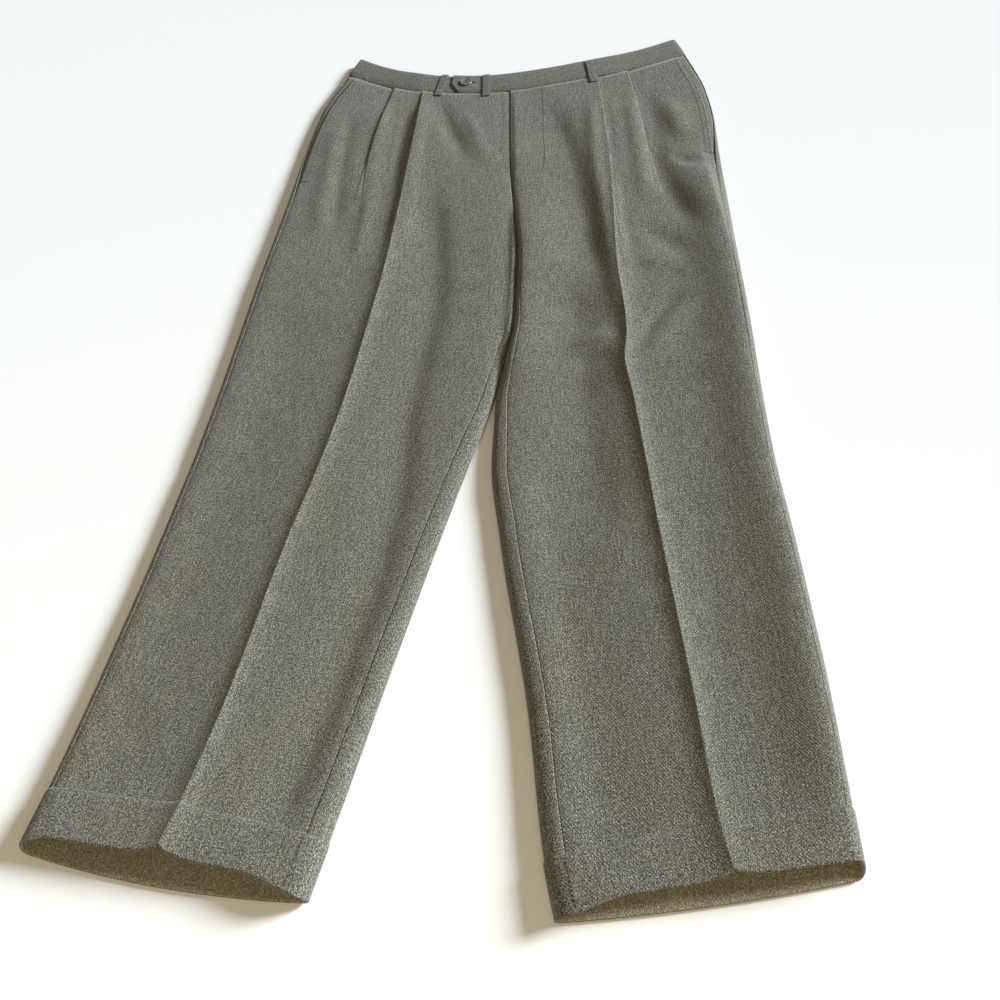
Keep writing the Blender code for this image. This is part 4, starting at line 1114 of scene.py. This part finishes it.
def band_grid(leg, start):
    """The waistband from its front end round the side to centre back."""
    width, reach = leg.section(0.0)["width"], BAND_EDGE_REACH
    back_z = BACK_LIFT + BAND_WALL / 2
    front = np.linspace(start, width - reach, BAND_STEPS)
    turns = np.linspace(math.pi / 2, -math.pi / 2, BAND_TURN_STEPS + 2)[1:-1]
    side_z = float(band_front_z(leg, [width])[0])
    fold_across = width - reach + reach * np.cos(turns)
    fold_z = (side_z + back_z) / 2 + (side_z - back_z) / 2 * np.sin(turns)
    back = np.linspace(width - reach, GAP / 2, BAND_STEPS)
    across = np.concatenate([front, fold_across, back])
    z = np.concatenate([band_front_z(leg, front), fold_z, np.full(len(back), back_z)])
    under = np.concatenate([0 * front, (1 - np.sin(turns)) / 2, 0 * back + 1])
    return np.array([band_points(leg, across, z, under, share) for share in BAND_SHARES])


def band_piece(part, grid):
    """A waistband, crowned a little between its edges and uneven along the front."""
    rise = BAND_FULLNESS * (1 - (2 * BAND_SHARES - 1) ** 4) - BAND_FULLNESS / 2
    rise -= BAND_EDGE_SINKS * np.exp(-BAND_SHARES / BAND_EDGE_SHARE)
    wave = unevenness(grid[:, :, :2].reshape(-1, 2)).reshape(grid.shape[:2])
    grid[:, :, 2] += (grid[:, :, 2] > BAND_WALL * 2) * (rise[:, None] + BAND_WAVE * wave)
    lengths = cloth_lengths(grid, 0)[:, :, ::-1]  # the waistband is cut along the grain
    cloth_piece(
        part, grid, lengths, ["front_left", "front_right"],
        wall=BAND_SHOWN_WALL, finishes=[BAND_FINISH], bevel=BAND_BEVEL,
    )


def build_waistbands():
    band_piece("waistband_right", band_grid(LEGS["right"], BAND_START_RIGHT))
    front_z = LEGS["left"].section(0.0)["inner_z"]
    tab = []
    for share in BAND_SHARES:
        reach = TAB_CORNER + (TAB_POINT - TAB_CORNER) * min(1.0, share * 2)
        across = np.linspace(reach, 0.0, TAB_COLUMNS)
        z = front_z - TAB_SETTLES * smooth(across / TAB_SETTLES_OVER)
        tab.append(band_points(LEGS["right"], across, z, 0 * across, max(share, TAB_CLEAR)))
    body = band_grid(LEGS["left"], BAND_START_LEFT)
    band_piece("waistband_left", np.concatenate([np.array(tab), body], axis=1))


LOOP_ROWS, LOOP_ACROSS = 28, 9
LOOP_BEND, LOOP_BEND_SHARE = 0.0003, 0.10  # how far a loop's ends are tacked down, and over what share of it
LOOP_ARCH = 0.0003  # how far its middle stands above its sides
LOOP_BEVEL = 0.0004
LOOP_STANDS = 0.0002  # how far a front loop stands off what is under it
LOOP_TILTS = {"belt_loop_front_right": 0.0002, "belt_loop_tab": 0.0002, "belt_loop_front_left": -0.0002}
LOOP_DROPS = 24  # places along a loop whose support is looked up
LOOP_FIRST_DROP = 0.04  # share of it above the first of them
LOOP_REACH = 2  # places to either side over which a step in the cloth carries it


def build_loop(name, top, bottom, z, tilt, facing=1.0):
    """A belt loop: a crowned strip over the waistband, bent in at both ends where it is tacked.

    facing is 1 for a loop on the front and -1 for one on the back.
    """
    top, bottom = np.array(top), np.array(bottom)
    along = (bottom - top) / np.linalg.norm(bottom - top)
    side = np.array([-along[1], along[0]]) * LOOP_WIDTH / 2
    rows = []
    for share in np.linspace(0.0, 1.0, LOOP_ROWS):
        bend = LOOP_BEND * (1 - smooth(min(share, 1 - share) / LOOP_BEND_SHARE))
        height = float(np.interp(share, np.linspace(0.0, 1.0, len(z)), z))
        row = []
        for k in np.linspace(-1.0, 1.0, LOOP_ACROSS):
            arch = LOOP_ARCH * (1 - k * k)
            x, y = top + (bottom - top) * share + k * side
            row.append((x, y, height + facing * (arch - bend) + tilt * k))
        rows.append(row)
    grid = np.array(rows)
    cloth_piece(
        name, grid, cloth_lengths(grid, LOOP_ACROSS // 2), ["waistband_left", "waistband_right"],
        wall=LOOP_WALL, finishes=[BAND_FINISH], bevel=LOOP_BEVEL, faces_up=facing > 0,
    )


def heights_under(top, bottom):
    """How high the cloth under a front loop is, along it, with its steps softened."""
    drop = surface_under("waistband_left", "waistband_right", "front_left", "front_right")
    shares = np.linspace(LOOP_FIRST_DROP, 1.0, LOOP_DROPS)
    found = [drop(*(np.array(top) + (np.array(bottom) - top) * share)) for share in shares]
    known = [height for height in found if height is not None]
    heights = np.array([height if height is not None else max(known) for height in found])
    padded = np.pad(heights, LOOP_REACH, mode="edge")
    highest = np.max([padded[k : k + LOOP_DROPS] for k in range(2 * LOOP_REACH + 1)], axis=0)
    padded = np.pad(highest, 1, mode="edge")
    return (padded[:-2] + 2 * padded[1:-1] + padded[2:]) / 4


def build_belt_loops():
    for loop in named(FRONT_LOOPS, LOOP_COLUMNS):
        ends = (loop["top_x"], loop["top_y"]), (loop["bottom_x"], loop["bottom_y"])
        z = heights_under(*ends) - SHIFT[2] + LOOP_WALL / 2 + LOOP_STANDS
        build_loop(loop["name"], *ends, z, LOOP_TILTS[loop["name"]])
    for loop in named(BACK_LOOPS, BACK_LOOP_COLUMNS):
        leg = LEGS[loop["side"]]
        seam, up = band_line(leg, [leg.section(0.0)["width"] * loop["share"]], [1.0])
        top = seam[0] + up[0] * BAND_HEIGHT * LOOP_TOP
        build_loop(loop["name"], top, seam[0] - up[0] * LOOP_TAIL, [LOOP_WALL / 2 + LOOP_ARCH], 0.0, -1.0)


BUTTON_SIDES, HOLE_SIDES = 56, 20
BUTTON_SHARP = 35  # degrees
MERGE = 0.00002  # points of the button nearer than this are one
SEWN_RADIUS = 0.00025  # of the button's thread
SEWN_SPREAD = 0.00022  # how far each of its two strands lies from the holes' middle
SEWN_ABOVE = 0.0002  # how far a strand lies above the button's hollow
SEWN_BOW, SEWN_LEVEL = 0.0001, 0.6  # how much higher it is between its holes, and over what share of the way


def button_blank():
    """The button's mesh before its holes: dished, with a rolled rim."""
    radius, thick, rim = BUTTON_RADIUS, BUTTON_THICK, BUTTON_RIM
    profile = [(0.0, 0.0), (radius * 0.60, 0.0), (radius * 0.86, thick * 0.16)]
    for turn in np.radians(np.linspace(-60, 150, 13)):
        profile.append((radius - rim * (1 - math.cos(turn)), thick - rim + rim * math.sin(turn)))
    profile += [(radius * 0.70, thick - rim * 0.80), (radius * 0.50, thick - rim), (0.0, thick - rim)]
    made = bmesh.new()
    ring = [made.verts.new((r, 0.0, z)) for r, z in profile]
    edges = [made.edges.new(pair) for pair in zip(ring, ring[1:])]
    bmesh.ops.spin(
        made, geom=ring + edges, cent=(0, 0, 0), axis=(0, 0, 1), angle=math.tau, steps=BUTTON_SIDES,
        use_duplicate=False,
    )
    bmesh.ops.remove_doubles(made, verts=made.verts, dist=MERGE)
    bmesh.ops.recalc_face_normals(made, faces=made.faces)
    mesh = bpy.data.meshes.new("button")
    made.to_mesh(mesh)
    made.free()
    return mesh


def build_button(z_under):
    """A dished four-hole button with a rolled rim, and the thread through it."""
    blank = placed("button_blank", button_blank())
    helpers = [blank]
    for x in (-HOLE_SPACING, HOLE_SPACING):
        for y in (-HOLE_SPACING, HOLE_SPACING):
            deep = 4 * BUTTON_THICK
            bpy.ops.mesh.primitive_cylinder_add(vertices=HOLE_SIDES, radius=HOLE_RADIUS, depth=deep)
            cutter = bpy.context.object
            cutter.location = (x, y, BUTTON_THICK / 2)
            helpers.append(cutter)
            cut = blank.modifiers.new("Hole", "BOOLEAN")
            cut.operation = "DIFFERENCE"
            cut.object = cutter
    bpy.context.view_layer.update()
    holed = bpy.data.meshes.new_from_object(blank.evaluated_get(bpy.context.evaluated_depsgraph_get()))
    for each in helpers:
        bpy.data.objects.remove(each, do_unlink=True)
    place = np.array([*BUTTON_PLACE, z_under]) + SHIFT
    points = np.array([v.co for v in holed.vertices]) + place
    holed.vertices.foreach_set("co", points.astype(np.float32).ravel())
    holed.shade_smooth()
    holed.set_sharp_from_angle(angle=math.radians(BUTTON_SHARP))
    holed.materials.clear()
    link("button_dished", holed, [HORN], ["button"])
    strands = []
    top = BUTTON_THICK - BUTTON_RIM + SEWN_ABOVE
    bow = ((-1.0, -BUTTON_RIM), (-SEWN_LEVEL, SEWN_BOW), (SEWN_LEVEL, SEWN_BOW), (1.0, -BUTTON_RIM))
    for y in (-HOLE_SPACING, HOLE_SPACING):
        for spread in (-SEWN_SPREAD, SEWN_SPREAD):
            strand = [(HOLE_SPACING * share, y + spread, top + above) for share, above in bow]
            strands.append((np.array(strand) + place, SEWN_RADIUS))
    rods("button_thread", strands, THREAD_FINISH)


DROP_FROM = 0.2  # height from which places are dropped onto the cloth
ROD_SIDES = 6
ROD_END = 0.45  # share of its radius that a thread has at its ends


def rods(name, lines, finish):
    """Round threads along lines of points, as one piece: (points, radius) for each."""
    points, faces = [], []
    for line, radius in lines:
        line = np.asarray(line)
        first, last = len(points), len(line) - 1
        lean = unit(np.gradient(line, axis=0))
        side = np.cross(lean, (0.0, 0.0, 1.0))
        side /= np.maximum(np.linalg.norm(side, axis=1, keepdims=True), TINY)
        above = np.cross(side, lean)
        for i in range(last + 1):
            thin = ROD_END if i in (0, last) else 1.0
            for k in range(ROD_SIDES):
                turn = math.tau * k / ROD_SIDES
                ring = side[i] * math.cos(turn) + above[i] * math.sin(turn)
                points.append(line[i] + radius * thin * ring)
        for i in range(last):
            a, b = first + i * ROD_SIDES, first + (i + 1) * ROD_SIDES
            for k in range(ROD_SIDES):
                n = (k + 1) % ROD_SIDES
                faces.append((a + k, a + n, b + n, b + k))
        faces.append([first + k for k in range(ROD_SIDES)][::-1])
        faces.append([first + last * ROD_SIDES + k for k in range(ROD_SIDES)])
    mesh = bpy.data.meshes.new(name)
    mesh.from_pydata([tuple(point) for point in points], [], faces)
    mesh.shade_smooth()
    link(name, mesh, [finish])


def surface_under(*parts):
    """A function that drops a plan place onto the top of these parts' cloth."""
    graph = bpy.context.evaluated_depsgraph_get()
    trees = [BVHTree.FromObject(bpy.data.objects[part + "_cloth"], graph) for part in parts]

    def drop(x, y):
        above = Vector((x + SHIFT[0], y + SHIFT[1], DROP_FROM))
        hits = [tree.ray_cast(above, Vector((0, 0, -1)))[0] for tree in trees]
        heights = [hit.z for hit in hits if hit]
        return max(heights) if heights else None

    return drop


BUTTONHOLE = 0.0050, 0.0060, 0.0128  # its slit, its lips and its far end, from the button's middle
BUTTONHOLE_LOW = 0.0006  # how far it lies below the button's middle
LIP_SPREAD = 0.0007  # how far each lip lies from the slit
J_STITCH = (
    (0.038, -0.062), (0.040, -0.110), (0.041, -0.160), (0.043, -0.200), (0.041, -0.228), (0.032, -0.252),
    (0.010, -0.270),
)
POCKET_STITCHES = 0.006, 0.168  # distance below the waist seam of a pocket's first stitch and of its bar tack
POCKET_INSETS = (0.0015, 0.0072)  # its two rows of stitches, from its edge
POCKET_BAR = (-0.002, 0.0105)  # and the ends of the bar tack
POCKET_ROUND, POCKET_SHARE = 0.6, 0.55  # shares of the side fold and of the mouth that its edge lies in
HEM_STITCHES = 0.003, 0.002  # how far a turn-up's seam stitches stop from its top and from the hem

# Kinds of stitch: length from one to the next, share of it that shows, radius, and share sunk in the cloth.
STITCH_COLUMNS = ("pitch", "share", "radius", "sunk")
STITCHES = {
    "pocket": (0.0032, 0.70, 0.00024, 0.3),
    "bar": (0.0011, 0.90, 0.00030, 0.1),
    "turn_up": (0.0032, 0.70, 0.00034, 0.3),
    "fly": (0.0032, 0.74, 0.00030, 0.3),
    "lip": (0.0006, 0.90, 0.00035, 0.1),
    # the slit is one dark rod standing in for the shade in the buttonhole's opening
    "slit": (0.0078, 1.00, 0.00040, 0.3),
}


def stitch_line(kind, places, *onto):
    """Stitches along a plan path on these pieces, as lines for rods()."""
    drop = surface_under(*onto)
    places = np.asarray(places)
    stitch = dict(zip(STITCH_COLUMNS, STITCHES[kind]))
    radius = stitch["radius"]
    length = np.linalg.norm(np.diff(places, axis=0), axis=1).sum()
    count = max(2, int(length / stitch["pitch"]))
    path = curve_through(places, count * 4 + 1)
    lift = radius * (1 - stitch["sunk"])
    lines = []
    for k in range(count):
        start = path[4 * k]
        end = start + (path[4 * k + 4] - start) * stitch["share"]
        heights = [drop(*start), drop(*end)]
        if None in heights:
            continue
        line = []
        for at, above in ((0.0, -radius), (0.2, lift), (0.8, lift), (1.0, -radius)):
            x, y = start + (end - start) * at
            z = heights[0] + (heights[1] - heights[0]) * at + above
            line.append((x + SHIFT[0], y + SHIFT[1], z))
        lines.append((line, radius))
    return lines


def beside_pocket(leg, down, insets):
    """Plan places on the front at this distance down, these distances in from its pocket edge."""
    row = leg.section(down)
    edge = row["width"] - EDGE_RADIUS * POCKET_ROUND - row["front_in"] * POCKET_SHARE
    return plan(row, edge - np.asarray(insets), np.zeros(len(insets)))


def sew():
    """The stitches that show: pocket mouths, bar tacks, turn-up seams, the fly's curve and the buttonhole."""
    fine, bold = [], []
    first, bar = POCKET_STITCHES
    below_top, above_hem = HEM_STITCHES
    for side, leg in LEGS.items():
        onto = f"front_{side}", f"turn_up_{side}"
        for inset in POCKET_INSETS:
            places = [beside_pocket(leg, down, [inset])[0] for down in np.linspace(first, bar, 14)]
            fine += stitch_line("pocket", places, *onto)
        bold += stitch_line("bar", beside_pocket(leg, bar, np.linspace(*POCKET_BAR, 4)), *onto)
    for side, leg in LEGS.items():
        seam = []
        for down in np.linspace(leg.turn_up_top + below_top, leg.hem - above_hem, 8):
            row = leg.section(down)
            seam.append(side_path(row, np.array([row["seam_in"]]), False)[0][:2])
        fine += stitch_line("turn_up", seam, f"turn_up_{side}")
    fine += stitch_line("fly", J_STITCH, "front_left")
    slit, lip, end = BUTTONHOLE
    middle = BUTTON_PLACE[1] - BUTTONHOLE_LOW
    for spread in (-LIP_SPREAD, LIP_SPREAD):
        places = [(BUTTON_PLACE[0] + x, middle + spread) for x in np.linspace(lip, end, 5)]
        bold += stitch_line("lip", places, "waistband_left")
    # A dark rod along the slit paints the shade in the buttonhole's opening.
    places = [(BUTTON_PLACE[0] + x, middle) for x in np.linspace(slit, end, 3)]
    bold += stitch_line("slit", places, "waistband_left")
    # Both in the darkened thread that paints the seams' shade.
    rods("stitches_fine", fine, THREAD_PAINTED_SEAM_SHADE)
    rods("stitches_bar_tacks", bold, THREAD_PAINTED_SEAM_SHADE)


FLOOR_HALF = 6.0
FLOOR_DROP = 0.0002  # how far it lies under the cloth
WALL_SIDES, WALL_REACH = 64, 6.0
WALL_FOOT = -0.01  # just under the floor
CAMERA_PLACE = (0.1049, -1.2630, 0.8124)  # in the plan's axes
CAMERA_TURN = (34.796, 5.330, 2.257)  # degrees
CAMERA_LENS, CAMERA_SENSOR = 37.39, 36.0
WORLD_COLOUR, WORLD_STRENGTH = (1.0, 0.93, 0.78, 1.0), 0.17
TO_WINDOW = (0.86, 0.38, 0.37)
WINDOW_POWER, WINDOW_ANGLE, WINDOW_COLOUR = 7.2, 16, (0.88, 0.97, 1.04)  # the angle in degrees
FILL_PLACE, FILL_AIM, FILL_SIZE = (0.1, -2.0, 1.7), (0.0, -0.5, 0.0), (1.6, 0.9)
FILL_POWER, FILL_COLOUR = 22.0, (1.0, 0.80, 0.46)


def staged(name, places, faces, finish):
    """A mesh that is part of the stage and not of the trousers."""
    mesh = bpy.data.meshes.new(name)
    mesh.from_pydata(places, [], faces)
    made = placed(name, mesh)
    made.data.materials.append(finish)
    return made


def set_stage():
    """The floor and, far behind it, a round backdrop with a top, which neither lights nor shades anything."""
    half = FLOOR_HALF
    corners = [(-half, -half, 0), (half, -half, 0), (half, half, 0), (-half, half, 0)]
    floor = staged("floor", corners, [(0, 1, 2, 3)], floor_paint("Floor"))
    floor.location.z = -FLOOR_DROP
    count = WALL_SIDES
    turns = np.linspace(0.0, math.tau, count, endpoint=False)
    ring = [(WALL_REACH * math.cos(turn), WALL_REACH * math.sin(turn)) for turn in turns]
    places = [(x, y, z) for z in (WALL_FOOT, WALL_REACH) for x, y in ring]
    faces = [(k, (k + 1) % count, (k + 1) % count + count, k + count) for k in range(count)]
    backdrop = staged("backdrop", places, [*faces, range(count, 2 * count)], backdrop_paint("Backdrop"))
    backdrop.visible_shadow = backdrop.visible_diffuse = backdrop.visible_glossy = False


def aimed(direction):
    """The turn of a lamp that shines this way."""
    return Vector(direction).to_track_quat("-Z", "Y").to_euler()


def set_camera():
    lens = bpy.data.cameras.new("Camera")
    lens.lens, lens.sensor_width = CAMERA_LENS, CAMERA_SENSOR
    lens.clip_start = 0.01
    eye = placed("Camera", lens)
    eye.location = np.array(CAMERA_PLACE) + (SHIFT[0], SHIFT[1], 0.0)
    eye.rotation_euler = [math.radians(each) for each in CAMERA_TURN]
    bpy.context.scene.camera = eye


def set_lights():
    """A soft window to the viewer's right, a warm fill from below the hems, and a faint warm world."""
    world = bpy.data.worlds.new("Studio")
    world.use_nodes = True
    background = world.node_tree.nodes["Background"].inputs
    background["Color"].default_value = WORLD_COLOUR
    background["Strength"].default_value = WORLD_STRENGTH
    bpy.context.scene.world = world
    sun = bpy.data.lights.new("Window", "SUN")
    sun.energy, sun.angle, sun.color = WINDOW_POWER, math.radians(WINDOW_ANGLE), WINDOW_COLOUR
    placed("Window", sun).rotation_euler = aimed(-Vector(TO_WINDOW))
    fill = bpy.data.lights.new("Fill", "AREA")
    fill.shape = "RECTANGLE"
    fill.size, fill.size_y = FILL_SIZE
    fill.energy, fill.color = FILL_POWER, FILL_COLOUR
    lamp = placed("Fill", fill)
    lamp.location = FILL_PLACE
    lamp.rotation_euler = aimed(Vector(FILL_AIM) - Vector(FILL_PLACE))
    bpy.context.scene.view_settings.view_transform = "Standard"


for side, leg in LEGS.items():
    build_panels(leg, side)
    build_turn_up(leg, side)
    build_pocket_facing(leg, side)
build_waistbands()
build_belt_loops()
build_button(LEGS["left"].section(0.0)["inner_z"] - TAB_SETTLES + BAND_SHOWN_WALL / 2 + GAP)
sew()
set_stage()
set_camera()
set_lights()
bpy.context.view_layer.update()
